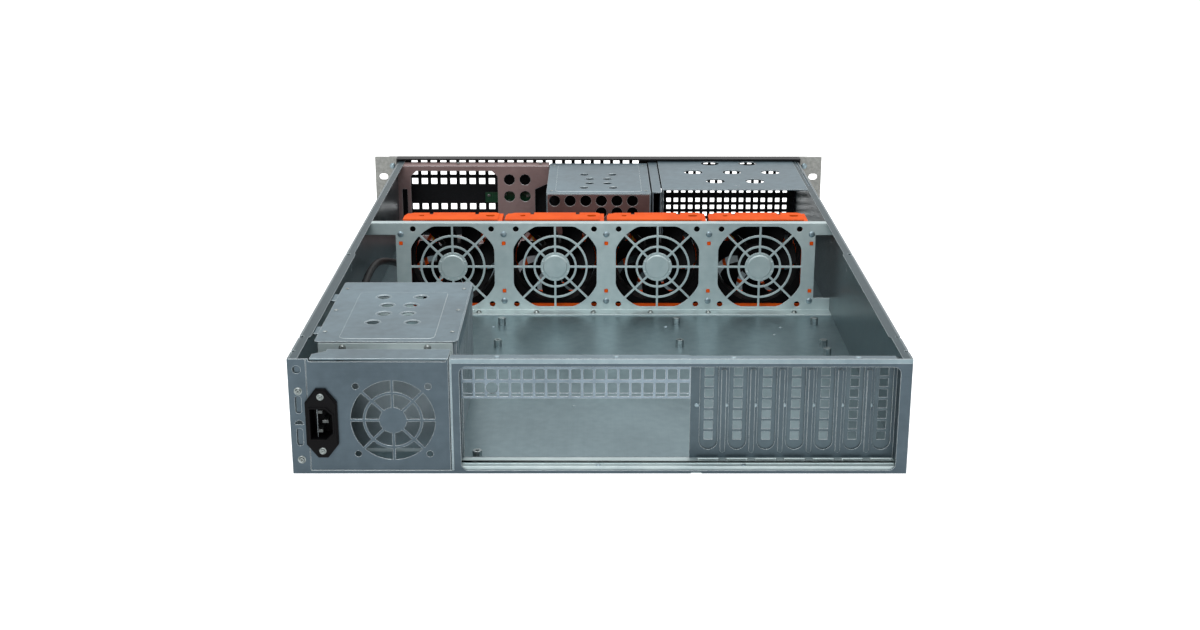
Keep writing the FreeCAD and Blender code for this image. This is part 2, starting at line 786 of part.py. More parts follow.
def fan_guides():
    """Rails between the holders, each pushed through the wall with two pins."""
    rails = []
    half = (d.fan_pitch - d.holder_width) / 2 - d.guide_clearance
    peg = d.pin_side / 2 - d.guide_clearance / 2
    for number in range(int(d.fan_count) + 1):
        x = fan_first + (number - 0.5) * d.fan_pitch
        rail = box("guide_rail", (x - half, fan_wall_front, d.sheet),
                   (x + half, holder_rear + d.holder_depth / 2, d.pin_upper + 1.5 * d.pin_side))
        pins = [box("guide_pin", (x - peg, fan_wall - d.sheet / 2, level - peg),
                    (x + peg, fan_wall_front + d.sheet, level + peg)) for level in (d.pin_upper, d.pin_lower)]
        rails.append(joined(f"guide_{number + 1}", "Part::MultiFuse", [rail] + pins))
    return joined("fan_guides", "Part::Compound", rails)


# hot-swap fan holder: open frame with grip lugs on top and a web ring at the far side
def fan_holder(number):
    holder = body(f"fan_holder_{number}")
    half = d.holder_width / 2
    low = d.sheet - d.fan_z
    high = d.wall_height - d.fan_z
    bore = d.fan_size / 2
    outline = from_behind(holder, 0)
    rectangle(outline, -half, low, half, high)
    pad(holder, outline, d.holder_depth, forward=True)
    cavity = from_behind(holder, 0)
    square(cavity, 0, 0, d.fan_size)
    cut(holder, cavity, d.holder_bottom + d.fan_depth + d.corner_gap)
    mouth = from_behind(holder, d.holder_depth)
    side = bore - 4
    bevel = bore * 0.35
    polygon(mouth, (-side, -side + bevel), (-side + bevel, -side), (side - bevel, -side),
            (side, -side + bevel), (side, side - bevel), (side - bevel, side),
            (-side + bevel, side), (-side, side - bevel))
    cut(holder, mouth, d.holder_depth - d.fan_depth)
    face = d.holder_depth - d.sheet
    latch = from_behind(holder, face)
    rectangle(latch, 0.5 * bore, -bore, 0.72 * bore, bore)
    rectangle(latch, 0.1 * bore, 0.5 * bore, 0.35 * bore, bore)
    pad(holder, latch, d.sheet, forward=True)
    notches = from_above(holder, high)
    for x in (-half + 0.27 * d.holder_width, half - 0.27 * d.holder_width):
        rectangle(notches, x - 2, d.holder_depth - 4, x + 2, d.holder_depth + 1)
    lug = d.holder_lug
    polygon(notches, (-half - 1, d.holder_depth - 0.7 * lug), (-half, d.holder_depth - 0.7 * lug),
            (-half + 0.3 * lug, d.holder_depth - 0.3 * lug), (-half + lug, d.holder_depth),
            (-half + lug, d.holder_depth + 1), (-half - 1, d.holder_depth + 1))
    cut(holder, notches, 3 * d.sheet)
    grip = from_above(holder, high)
    rectangle(grip, half - 14, d.holder_depth - 16, half - 5.5, d.holder_depth - 13)
    ring(grip, -half + 16, d.holder_depth - 14, d.pin_side / 2, 6)
    cut(holder, grip, 5 * d.sheet)
    return place_at_fan(holder, number, holder_rear)


def place_at_fan(item, number, y):
    return moved(item, x=fan_first + (number - 1) * d.fan_pitch, y=y, z=d.fan_z)


# fan frame: square housing with a round bore, a motor plate on four struts and its axle
def fan_frame(number):
    frame = body(f"fan_frame_{number}")
    half = d.fan_size / 2
    outline = from_behind(frame, 0)
    rectangle(outline, -half, -half, half, half)
    ring(outline, 0, 0, d.fan_bore, 2 * d.hole_sides)
    pad(frame, outline, d.fan_depth, forward=True)
    back = d.fan_depth - 3
    for turn in (45, 135):
        strut = from_behind(frame, back, turn=turn)
        rectangle(strut, -half, -2, half, 2)
        pad(frame, strut, 3, forward=True)
    motor = from_behind(frame, back)
    ring(motor, 0, 0, d.rotor_hub - 1, d.hole_sides)
    pad(frame, motor, 3, forward=True)
    axle = from_behind(frame, back)
    ring(axle, 0, 0, d.axle_radius, d.hole_sides)
    pad(frame, axle, d.rotor_hub_depth - 3)
    return place_at_fan(frame, number, fan_rear)


# fan rotor: cupped hub with pitched blades
def fan_rotor(number):
    rotor = body(f"fan_rotor_{number}")
    start = d.fan_depth - 3 - d.rotor_clearance - d.rotor_hub_depth
    face = from_behind(rotor, start)
    ring(face, 0, 0, d.rotor_hub, 2 * d.blade_count)
    pad(rotor, face, d.rotor_hub_depth, forward=True)
    bore = from_behind(rotor, start + d.rotor_hub_depth)
    ring(bore, 0, 0, (d.axle_radius + d.axle_clearance) / math.cos(math.pi / int(d.hole_sides)), d.hole_sides)
    cut(rotor, bore, d.rotor_hub_depth - 2)
    root = sketch(rotor, "YZ_Plane", d.rotor_hub - 1.5, start + d.rotor_hub_depth / 2)
    angle = math.radians(d.blade_angle)
    length = 0.45 * d.rotor_hub_depth
    thick = d.blade_sheet / 2
    polygon(root, *[(a * math.sin(angle) * length + b * math.cos(angle) * thick,
                     a * math.cos(angle) * length - b * math.sin(angle) * thick)
                    for a, b in ((-1, -1), (1, -1), (1, 1), (-1, 1))])
    blade = pad(rotor, root, d.rotor_radius - d.rotor_hub)
    around(rotor, [blade], face, d.blade_count)
    return place_at_fan(rotor, number, fan_rear)


# rear drive cage: vented top with folded edges, and the slotted side that stands on the floor
def cage_top():
    top = body("rear_cage_top")
    left, right = d.cage_left, d.cage_right
    plate = from_above(top, d.wall_height)
    rectangle(plate, left, rear + d.cage_rear, right, rear + d.cage_front)
    pad(top, plate, d.sheet, forward=True)
    lip = from_behind(top, rear + d.cage_rear)
    rectangle(lip, left, d.wall_height - d.cage_lip, right, under_lip)
    pad(top, lip, d.sheet, forward=True)
    edge = from_side(top, right)
    rectangle(edge, rear + d.cage_rear, d.wall_height - d.cage_lip, rear + d.cage_front, under_lip)
    pad(top, edge, d.sheet, forward=True)
    tabs = from_above(top, under_lip)
    for y in (rear + d.cage_rear + 0.2 * (d.cage_front - d.cage_rear),
              rear + d.cage_rear + 0.75 * (d.cage_front - d.cage_rear)):
        rectangle(tabs, -d.body_width / 2 + 4, y - 8, left + 8, y + 8)
    pad(top, tabs, d.sheet, forward=True)
    emboss = from_above(top, d.wall_height)
    rectangle(emboss, left + 17.5, rear + d.cage_rear + 2, right - 17.5, rear + d.cage_front - 30)
    pad(top, emboss, d.cage_emboss)
    vent_holes(top, d.wall_height, d.cage_hole_radius,
               drive_vents((left + right) / 2, rear + d.cage_rear + 0.51 * (d.cage_front - d.cage_rear), 21.2),
               d.hole_sides)
    return top


def cage_side():
    side = body("rear_cage_side")
    right = d.cage_right - d.sheet
    depth = d.cage_front - d.cage_rear
    wall = from_side(side, right)
    rectangle(wall, rear + d.cage_rear + 2 * d.sheet, d.sheet, rear + d.cage_front, under_lip)
    pad(side, wall, d.sheet, forward=True)
    foot = from_above(side, 2 * d.sheet)
    rectangle(foot, right - 12, rear + d.cage_rear + 2 * d.sheet, right - d.sheet, rear + d.cage_front)
    pad(side, foot, d.sheet, forward=True)
    slit = from_side(side, right)
    rectangle(slit, rear + d.cage_rear + 14, 0.25 * d.wall_height, rear + d.cage_rear + 18, 0.8 * d.wall_height)
    slits = cut(side, slit, 2 * d.sheet)
    repeat(side, [slits], slit, depth / 10, 9)
    back = from_behind(side, rear + d.cage_rear + 2 * d.sheet)
    rectangle(back, d.cage_wall_left, 1.5 + d.sheet, right, under_lip)
    pad(side, back, d.sheet, forward=True)
    return side


# front panel: perforated face, returns round the tub and the strips that carry the ears
def front_panel():
    panel = body("front_panel")
    half = inner_half + d.sheet + d.panel_gap + d.panel_sheet
    face = from_behind(panel, panel_back)
    rectangle(face, -half - d.panel_flange, 0, half + d.panel_flange, d.panel_height)
    pad(panel, face, d.panel_sheet, forward=True)
    wrap = from_behind(panel, panel_back)
    inner = half - d.panel_sheet
    polygon(wrap, (-half, 0), (-inner, 0), (-inner, d.panel_height - d.panel_sheet),
            (inner, d.panel_height - d.panel_sheet), (inner, 0), (half, 0), (half, d.panel_height),
            (-half, d.panel_height))
    pad(panel, wrap, d.panel_return)
    top = from_behind(panel, panel_back)
    square(top, d.mesh_start, d.mesh_top_row, d.mesh_hole)
    top_row = cut(panel, top, 2 * d.panel_sheet)
    repeat(panel, [top_row], top, d.mesh_pitch, d.mesh_top_columns)
    coarse = from_behind(panel, panel_back)
    for level in (d.mesh_upper_row, d.mesh_upper_row - d.mesh_pitch, d.mesh_lower_row):
        square(coarse, d.mesh_start, level, d.mesh_hole)
    rows = cut(panel, coarse, 2 * d.panel_sheet)
    repeat(panel, [rows], coarse, d.mesh_pitch, d.mesh_columns)
    fine = from_behind(panel, panel_back)
    for row in range(int(d.fine_rows)):
        square(fine, d.fine_start, d.fine_top_row - row * d.fine_pitch, d.fine_hole)
    mesh = cut(panel, fine, 2 * d.panel_sheet)
    repeat(panel, [mesh], fine, d.fine_pitch, d.fine_columns)
    controls = from_behind(panel, panel_back)
    for x in button_places():
        ring(controls, x, d.control_z, d.button_radius + d.button_clearance, d.ring_sides)
    for x in lamp_places():
        rectangle(controls, x - d.lamp_width / 2, d.control_z - d.lamp_height / 2,
                  x + d.lamp_width / 2, d.control_z + d.lamp_height / 2)
    for z in port_places():
        rectangle(controls, d.control_x - d.port_width / 2, z - d.port_height / 2,
                  d.control_x + d.port_width / 2, z + d.port_height / 2)
    cut(panel, controls, 2 * d.panel_sheet)
    return panel


def button_places():
    return d.control_x - 24, d.control_x - 13.5


def lamp_places():
    return d.control_x + 12, d.control_x + 18


def port_places():
    return d.control_z + 6, d.control_z - 6


def board_face():
    return panel_back - d.panel_return


def control_board():
    face = board_face()
    return box("control_board", (d.board_left, face - d.board_sheet, d.board_low),
               (d.board_right_edge, face, d.board_high))


def usb_ports():
    ports = []
    half = d.port_width / 2
    for z in port_places():
        name = "usb_shell"
        low = d.port_height / 2
        shell = box(name, (d.control_x - half, board_face(), z - low),
                    (d.control_x + half, front, z + low))
        hollow = box(name + "_hollow", (d.control_x - half + 0.7, front - 8, z - low + 0.7),
                     (d.control_x + half - 0.7, front + 1, z + low - 0.7))
        port = doc.addObject("Part::Cut", "usb_port")
        port.Base = shell
        port.Tool = hollow
        ports.append(port)
    return joined("usb_ports", "Part::Compound", ports)


def indicator_lamps():
    """Light pipes from the board through the panel."""
    half = d.lamp_width / 2 - d.button_clearance / 2
    rise = d.lamp_height / 2 - d.button_clearance / 2
    lamps = [box("lamp", (x - half, board_face(), d.control_z - rise), (x + half, front, d.control_z + rise))
             for x in lamp_places()]
    return joined("indicator_lamps", "Part::Compound", lamps)


def button_switches():
    """Switch bodies on the board, each with a bore that its button's stem slides in."""
    switches = []
    half = d.button_radius
    hole = d.stem_side / 2 + d.axle_clearance
    for x in button_places():
        block = box("switch_block", (x - half, board_face(), d.control_z - half),
                    (x + half, board_face() + d.switch_depth, d.control_z + half))
        bore = box("switch_bore", (x - hole, board_face() + d.sheet, d.control_z - hole),
                   (x + hole, board_face() + d.switch_depth + 1, d.control_z + hole))
        switch = doc.addObject("Part::Cut", "switch")
        switch.Base = block
        switch.Tool = bore
        switches.append(switch)
    return joined("button_switches", "Part::Compound", switches)


def push_button(label, x):
    """A round cap in the panel, a collar behind the sheet and a stem into the switch."""
    button = body(label)
    collar_start = panel_back - d.button_clearance - d.sheet
    cap = from_behind(button, collar_start, x, d.control_z)
    ring(cap, 0, 0, d.button_radius, d.ring_sides)
    pad(button, cap, front + d.button_proud - collar_start, forward=True)
    collar = from_behind(button, collar_start, x, d.control_z)
    square(collar, 0, 0, 2 * d.button_radius + 2)
    pad(button, collar, d.sheet, forward=True)
    stem = from_behind(button, collar_start, x, d.control_z)
    square(stem, 0, 0, d.stem_side)
    stem_end = board_face() + d.sheet + d.button_travel + d.corner_gap
    pad(button, stem, collar_start - stem_end)
    return button


# rack ear: flat plate behind the panel's side strip, with two obround rack slots
def rack_ear(label, side):
    ear = body(label)
    inner = inner_half + d.sheet + d.panel_gap + d.panel_sheet
    left, right = sorted((side * inner, side * d.rack_width / 2))
    plate = from_behind(ear, panel_back)
    rectangle(plate, left, 0, right, d.panel_height)
    pad(ear, plate, d.ear_sheet)
    slots = from_behind(ear, panel_back)
    for level in (-1, 1):
        obround(slots, side * d.rack_hole_spread / 2, d.panel_height / 2 + level * d.rack_hole_spacing / 2,
                d.rack_slot_width, d.rack_slot_height)
    cut(ear, slots, 2 * d.ear_sheet)
    return ear


# bracket for the power supply: opening with cropped corners, four round holes, flange and foot
def supply_bracket():
    bracket = body("supply_bracket")
    t = d.sheet
    y = rear + d.bracket_y
    top = d.bay_top
    plate = from_behind(bracket, y)
    polygon(plate, (-inner_half, t), (d.bracket_right - 15, t), (d.bracket_right - 15, 0.7 * top),
            (d.bracket_right, 0.78 * top), (d.bracket_right, top), (-lip_half, top),
            (-lip_half, under_lip - d.corner_gap), (-inner_half, under_lip - d.corner_gap))
    pad(bracket, plate, t, forward=True)
    flange = from_above(bracket, top)
    rectangle(flange, -lip_half, y + t, d.bracket_right, y + d.bracket_flange)
    pad(bracket, flange, t, forward=True)
    foot = from_above(bracket, 2 * t)
    rectangle(foot, -inner_half, y - 12, d.bracket_right - 15, y)
    pad(bracket, foot, t, forward=True)
    openings = from_behind(bracket, y)
    left, right, low, high = d.supply_left, d.supply_right, d.supply_bottom, d.supply_top
    bevel = d.supply_corner
    polygon(openings, (left, low), (right, low), (right, high - bevel), (right - bevel, high),
            (left + bevel, high), (left, high - bevel))
    rectangle(openings, left - 9.5, low, left - 4, 0.75 * high)
    cut(bracket, openings, 2 * t)
    for x in (right + 12.5, right + 29.2):
        hole = from_behind(bracket, y, x)
        for z in (0.65 * high, 0.88 * high):
            ring(hole, 0, z, bevel, d.hole_sides)
        cut(bracket, hole, 2 * t)
    return bracket


# centre drive cage: vented top, perforated rear wall and two side walls on the floor
def drive_cage():
    cage = body("front_drive_cage")
    t = d.sheet
    left, right = d.drive_cage_left, d.drive_cage_right
    near, far = rear + d.drive_cage_rear, rear + d.drive_cage_front
    profile = from_behind(cage, near)
    polygon(profile, (left, t), (left + t, t), (left + t, d.bay_top - t), (right - t, d.bay_top - t),
            (right - t, t), (right, t), (right, d.bay_top), (left, d.bay_top))
    pad(cage, profile, far - near, forward=True)
    back = from_behind(cage, near)
    rectangle(back, left + t, d.drive_wall_bottom, right - t, d.bay_top - t)
    pad(cage, back, t, forward=True)
    vent_holes(cage, d.bay_top, d.cage_hole_radius, drive_vents((left + right) / 2, (near + far) / 2 - 16, 20),
               d.hole_sides)
    for level, skipped in ((d.drive_hole_row, 0), (d.drive_hole_lower_row, 3)):
        row = from_behind(cage, near, d.drive_hole_first + skipped * d.drive_hole_pitch)
        ring(row, 0, level, d.drive_hole_radius, d.hole_sides)
        holes = cut(cage, row, 2 * t)
        repeat(cage, [holes], row, d.drive_hole_pitch, 6 - skipped)
    return cage


def bay_divider():
    """Channel between the drive cage and the right bay."""
    divider = body("bay_divider")
    t = d.sheet
    left, right = d.divider_left, d.divider_right
    profile = from_behind(divider, rear + d.divider_rear)
    polygon(profile, (left, t), (left + t, t), (left + t, d.bay_top - t), (right - t, d.bay_top - t),
            (right - t, t), (right, t), (right, d.bay_top), (left, d.bay_top))
    pad(divider, profile, panel_back - rear - d.divider_rear, forward=True)
    return divider


# top of the right bay: flat plate under the lips with large vents, and a folded front edge
def bay_plate():
    plate = body("right_bay_top")
    right = lip_half
    near, far = rear + d.bay_plate_rear, panel_back
    top = from_above(plate, d.bay_top)
    rectangle(top, d.bay_plate_left, near, right, far)
    pad(plate, top, d.sheet, forward=True)
    edge = from_behind(plate, near)
    rectangle(edge, d.bay_plate_left, d.bay_top - 4, right, d.bay_top - d.sheet)
    pad(plate, edge, d.sheet, forward=True)
    leg = from_side(plate, d.bay_plate_left)
    rectangle(leg, near, d.sheet, near + 20, d.bay_top - d.sheet)
    pad(plate, leg, d.sheet)
    ledge = from_above(plate, under_lip - d.corner_gap)
    rectangle(ledge, right - 4, near + 10, inner_half, far - 10)
    pad(plate, ledge, d.sheet, forward=True)
    first = d.bay_plate_left + 35.3
    middle = rear + 594
    vent_holes(plate, d.bay_top, d.bay_hole_radius,
               [(first + x * d.bay_hole_pitch, middle + y * d.bay_hole_pitch) for x, y in (
                   (0, 0), (1, 0), (2, 0), (0.5, 1.06), (1.5, 1.06), (0.5, -1.05), (1.5, -1.05))], d.ring_sides)
    return plate


# hexagonal pillars for the main board, with thread bores in the four that fix its corners
def board_standoffs():
    places = []
    left, middle = d.board_right - d.board_pitch, d.board_right
    right = d.board_right + d.board_wide_pitch
    for x in (left, middle, right):
        for y in (d.board_rear, d.board_row_a, d.board_row_b, d.board_row_c):
            places.append((x, y))
    pillars = []
    for x, y in places:
        if y is d.board_row_a and x is not right:
            continue
        post = doc.addObject("Part::Prism", "pillar")
        post.Polygon = 6
        post.setExpression("Circumradius", formula(d.standoff_flats / math.sqrt(3)))
        post.setExpression("Height", formula(d.standoff_height))
        moved(post, x=x, y=rear + y, z=d.sheet)
        if x is right or y is d.board_row_a or y is d.board_row_c:
            pillars.append(post)
            continue
        bore = rod("pillar_bore", "z", (x, rear + y, d.sheet + d.standoff_height / 3),
                   d.standoff_bore, d.standoff_height)
        pillar = doc.addObject("Part::Cut", "standoff")
        pillar.Base = post
        pillar.Tool = bore
        pillars.append(pillar)
    return joined("board_standoffs", "Part::Compound", pillars)


# the lead's route, from the inlet's back along the left wall and over into the supply bay
lead_route = [
    (-192.8, 17.0, 38.3), (-192.8, 62.0, 38.3), (-203.0, 150.0, 36.0), (-204.0, 240.0, 44.0),
    (-203.0, 334.0, 58.0), (-200.0, 416.0, 40.0), (-184.0, 492.0, 9.0), (-146.0, 526.0, 9.0),
]


def lead_path(points):
    """Straight runs joined by tangent arcs, each as large as its two runs allow."""
    edges = []
    radii = []
    start = points[0]
    for before, corner, after in zip(points, points[1:], points[2:]):
        arriving = (corner - before).normalize()
        leaving = (after - corner).normalize()
        half_turn = arriving.getAngle(leaving) / 2
        reach = 0.45 * min((corner - before).Length, (after - corner).Length)
        radii.append(reach / math.tan(half_turn))
        begin = corner - arriving * reach
        end = corner + leaving * reach
        bisector = (leaving - arriving).normalize()
        middle = corner + bisector * (radii[-1] / math.cos(half_turn) - radii[-1])
        edges.append(Part.LineSegment(start, begin).toShape())
        edges.append(Part.Arc(begin, middle, end).toShape())
        start = end
    edges.append(Part.LineSegment(start, points[-1]).toShape())
    return Part.Wire(edges), radii


def power_lead():
    points = [Vector(x, rear + y, z) for x, y, z in lead_route]
    wire, radii = lead_path(points)
    radius = d.lead_diameter / 2
    section = Part.Face(Part.Wire(Part.makeCircle(radius, points[0], points[1] - points[0])))
    tube = wire.makePipe(section)
    expected = math.pi * radius ** 2 * wire.Length
    print("lead length", round(wire.Length, 1), "smallest radius", round(min(radii), 1),
          "volume ratio", round(tube.Volume / expected, 4))
    print("lead radii", [round(value) for value in radii])
    lead = doc.addObject("Part::Feature", "power_lead")
    lead.Shape = tube
    return lead


def lead_plug():
    """Moulded connector on the lead's far end: tapered grip and socket block."""
    points = [Vector(x, rear + y, z) for x, y, z in lead_route]
    heading = (points[-1] - points[-2]).normalize()
    narrow, side = d.lead_diameter / 2, d.lead_grip_side / 2
    grip = Part.makeWedge(-narrow, 0, -narrow, -side, -side, narrow, d.lead_grip, narrow, side, side)
    grip.rotate(Vector(), Vector(1, 0, 0), 90)
    block = Part.makeBox(d.lead_plug_width, d.lead_plug_height, d.lead_plug_length,
                         Vector(-d.lead_plug_width / 2, -d.lead_plug_height / 2, d.lead_grip))
    plug = doc.addObject("Part::Feature", "lead_plug")
    plug.Shape = grip.fuse(block)
    across = Vector(0, 0, 1).cross(heading)
    plug.Placement = Placement(points[-1], Rotation(across, heading.cross(across), heading, "ZXY"))
    return plug


pieces = [chassis_tub(), rear_frame(), rear_plate(), power_inlet(), inlet_pins(), io_wall()]
pieces += [slot_cover(number) for number in range(1, int(d.slot_count) + 1)]
pieces += [fan_wall_sheet(), fan_guides()]
for number in range(1, int(d.fan_count) + 1):
    pieces += [fan_holder(number), fan_frame(number), fan_rotor(number)]
pieces += [cage_top(), cage_side(), front_panel(), rack_ear("ear_left", -1), rack_ear("ear_right", 1),
           control_board(), usb_ports(), indicator_lamps(), button_switches(),
           push_button("power_button", button_places()[0]), push_button("reset_button", button_places()[1]),
           supply_bracket(), drive_cage(), bay_divider(), bay_plate(), board_standoffs(),
           power_lead(), lead_plug()]
doc.recompute()

for item in doc.Objects:
    if "Invalid" in item.State or "Error" in item.State:
        raise RuntimeError(f"{item.Name} failed: {item.State}")
    if item.TypeId == "PartDesign::Pocket" and item.BaseFeature:
        if item.Shape.Volume > item.BaseFeature.Shape.Volume - 1e-3:
            raise RuntimeError(f"{item.Name} removes nothing")
for piece in pieces:
    if piece.Shape.isNull() or not piece.Shape.isValid() or not piece.Shape.Solids:
        raise RuntimeError(f"{piece.Label} has no valid solid")

os.makedirs("parts", exist_ok=True)
for piece in pieces:
    piece.Shape.exportStep(f"parts/{piece.Label}.step")
    print(piece.Label, len(piece.Shape.Solids), "solids", round(piece.Shape.Volume), "mm3")
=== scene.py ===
import math

import bmesh
import bpy
from mathutils import Matrix, Vector


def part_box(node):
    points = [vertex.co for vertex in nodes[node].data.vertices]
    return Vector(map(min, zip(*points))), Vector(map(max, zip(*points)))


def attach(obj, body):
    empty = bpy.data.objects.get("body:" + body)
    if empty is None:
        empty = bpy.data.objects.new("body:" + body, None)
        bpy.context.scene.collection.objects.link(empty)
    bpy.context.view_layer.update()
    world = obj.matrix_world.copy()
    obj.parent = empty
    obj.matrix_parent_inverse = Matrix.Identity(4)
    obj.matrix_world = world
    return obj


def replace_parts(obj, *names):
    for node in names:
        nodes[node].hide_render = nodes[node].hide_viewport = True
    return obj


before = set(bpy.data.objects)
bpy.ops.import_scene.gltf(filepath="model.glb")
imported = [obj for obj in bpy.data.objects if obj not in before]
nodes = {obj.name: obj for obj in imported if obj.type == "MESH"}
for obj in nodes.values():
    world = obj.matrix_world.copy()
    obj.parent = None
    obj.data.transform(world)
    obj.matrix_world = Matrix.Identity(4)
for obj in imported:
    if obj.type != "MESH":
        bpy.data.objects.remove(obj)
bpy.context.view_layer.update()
mm = 0.001
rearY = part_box("rear_frame")[0].y  # outer face of the rear, everything below is placed from it
scene = bpy.context.scene
print("frame loaded:", len(nodes), "nodes")


def at(x, y, z):
    return Vector((x * mm, rearY + y * mm, z * mm))  # millimetres from the rear plane to the frame


def linked(name, data):  # a new object in the scene
    item = bpy.data.objects.new(name, data)
    scene.collection.objects.link(item)
    return item


camera = {
    "focal": 47.506,  # from a camera fitted to rack, slot and fan dimensions
    "place": (-3.35, -1025.49, 441.21),
    "pitch": 17.56,
    "yaw": 0.18,
    "roll": 0.08,
}


def makeCamera():
    data = bpy.data.cameras.new("camera")
    data.lens = camera["focal"]
    data.sensor_width = 36
    data.clip_start, data.clip_end = 0.05, 50
    item = linked("camera", data)
    turn = (Matrix.Rotation(-math.radians(camera["yaw"]), 4, "Z")
            @ Matrix.Rotation(math.radians(90 - camera["pitch"]), 4, "X")
            @ Matrix.Rotation(math.radians(camera["roll"]), 4, "Z"))
    item.matrix_world = Matrix.Translation(at(*camera["place"])) @ turn
    scene.camera = item


makeCamera()

lead = {
    "diameter": 6.5,
    "length": 0.534,
    "route": [
        (-192.8, 17.0, 38.3), (-192.8, 62.0, 38.3), (-203.0, 150.0, 36.0), (-204.0, 240.0, 44.0),
        (-203.0, 334.0, 58.0), (-200.0, 416.0, 40.0), (-184.0, 492.0, 9.0), (-146.0, 526.0, 9.0),
    ],
}


def cordCurve(name, route, radius, sides, steps):  # a round cord through points given in millimetres
    data = bpy.data.curves.new(name, "CURVE")
    data.dimensions = "3D"
    data.bevel_depth = radius * mm
    data.bevel_resolution = sides
    data.resolution_u = steps
    data.use_fill_caps = True
    spline = data.splines.new("NURBS")
    spline.points.add(len(route) - 1)
    for point, place in zip(spline.points, route):
        point.co = (*at(*place), 1)
    spline.order_u = 3
    spline.use_endpoint_u = True
    return linked(name, data)


powerLead = cordCurve("powerLead", lead["route"], lead["diameter"] / 2, 6, 10)
print("camera and lead made")


def linear(hexColour):  # an sRGB hex colour as the linear one that shaders take
    parts = [int(hexColour[i:i + 2], 16) / 255 for i in (1, 3, 5)]
    return (*[c / 12.92 if c <= 0.04045 else ((c + 0.055) / 1.055) ** 2.4 for c in parts], 1)


def feed(tree, node, inputs):  # each input gets a value, or links from sockets or nodes' first outputs
    for key, value in inputs.items():
        for one in value if isinstance(value, list) else [value]:
            if isinstance(one, bpy.types.Node):
                one = one.outputs[0]
            if isinstance(one, bpy.types.NodeSocket):
                tree.links.new(one, node.inputs[key])
            else:
                node.inputs[key].default_value = one


def addNode(tree, kind, inputs=None, **settings):
    node = tree.nodes.new(kind)
    for name, value in settings.items():
        setattr(node, name, value)
    feed(tree, node, inputs or {})
    return node


def startMaterial(name, roughness, metallic=0.0, specular=0.5):
    material = bpy.data.materials.new(name)
    material.use_nodes = True
    tree = material.node_tree
    shader = tree.nodes["Principled BSDF"]
    feed(tree, shader, {"Roughness": roughness, "Metallic": metallic, "Specular IOR Level": specular})
    place = addNode(tree, "ShaderNodeTexCoord").outputs["Object"]
    return material, tree, shader, place


def mixed(tree, factor, low, high, start=0.3, end=0.7):  # a colour between two hexes, by a texture
    ramp = addNode(tree, "ShaderNodeValToRGB", {0: factor})
    ramp.color_ramp.elements[0].position = start
    ramp.color_ramp.elements[1].position = end
    ramp.color_ramp.elements[0].color = linear(low)
    ramp.color_ramp.elements[1].color = linear(high)
    return ramp


def spread(tree, factor, low, high):  # a texture's value brought between two numbers
    return addNode(tree, "ShaderNodeMapRange", {"Value": factor, "To Min": low, "To Max": high})


def edgeWearAndHighlight(tree, colour, edgeHighlightColour, radiusMm, amount, shader):
    # rounds the cut edges for the light, and lightens their colour towards the edge colour: a painted highlight
    # along the edges, partly bare metal where handling wears them
    rounded = addNode(tree, "ShaderNodeBevel", {"Radius": radiusMm * mm}, samples=4)
    flat = addNode(tree, "ShaderNodeNewGeometry").outputs["Normal"]
    likeness = addNode(tree, "ShaderNodeVectorMath", {0: rounded, 1: flat},
                       operation="DOT_PRODUCT").outputs["Value"]
    edge = addNode(tree, "ShaderNodeMapRange", {"Value": likeness, "From Min": 0.99, "From Max": 0.8,
                                                "To Min": 0.0, "To Max": amount})
    blend = addNode(tree, "ShaderNodeMix", {0: edge, 6: colour, 7: linear(edgeHighlightColour)}, data_type="RGBA")
    feed(tree, shader, {"Base Color": blend.outputs[2]})
    return rounded


def grained(tree, shader, height, strength, distance, normal):  # fine relief that only the light shows
    feed(tree, shader, {"Normal": addNode(tree, "ShaderNodeBump", {
        "Height": height, "Strength": strength, "Distance": distance, "Normal": normal})})


steelLook = {
    # the near-white edge colour is a painted highlight along cut edges, partly bare metal
    "edge": "#dde7e9",
    "spangle": 1.6,  # mm across one zinc grain, coarser than real so that it shows
    "rolling": 0.9,  # mm between rolling lines, coarser than real
    "streak": 1000 / 14,  # mm that a rolling line runs before it changes
    "blotch": 110,  # mm across a patch of haze
    "mottle": 7,  # mm across the finer clouding
    "edgeRound": 0.6,  # mm that a cut edge rounds the light over
}


# Electro-zinc-coated steel sheet, rolled: dull blue-grey haze, faint rolling lines, and cut edges lightened by a
# painted highlight that stands partly for bare metal
def zincSteel(name, low, high, along, metallic=0.62, roughness=0.4):
    material, tree, shader, place = startMaterial(name, roughness, metallic)
    haze = addNode(tree, "ShaderNodeTexNoise", {"Vector": place, "Scale": 1000 / steelLook["blotch"],
                                                "Detail": 4.0, "Roughness": 0.6})
    spangle = addNode(tree, "ShaderNodeTexVoronoi", {"Vector": place, "Scale": 1000 / steelLook["spangle"]})
    stretch = [1000 / steelLook["rolling"]] * 3
    stretch["xyz".index(along)] = 1000 / steelLook["streak"]
    drawn = addNode(tree, "ShaderNodeMapping", {"Vector": place, "Scale": tuple(stretch)})
    lines = addNode(tree, "ShaderNodeTexNoise", {"Vector": drawn, "Scale": 1.0, "Detail": 2.0})
    mottle = addNode(tree, "ShaderNodeTexNoise", {"Vector": place, "Scale": 1000 / steelLook["mottle"],
                                                  "Detail": 3.0})
    clouded = addNode(tree, "ShaderNodeMix", {0: 0.3, 2: haze, 3: mottle})
    blend = addNode(tree, "ShaderNodeMix", {0: 0.08, 2: clouded, 3: lines})
    colour = mixed(tree, blend, low, high, 0.36, 0.64)
    normal = edgeWearAndHighlight(tree, colour, steelLook["edge"], steelLook["edgeRound"], 0.85, shader)
    feed(tree, shader, {"Roughness": spread(tree, haze, roughness - 0.06, roughness + 0.1)})
    grain = addNode(tree, "ShaderNodeMath", {0: lines, 1: spangle},
                    operation="ADD")
    grained(tree, shader, grain, 0.03, 0.0002, normal)
    return material


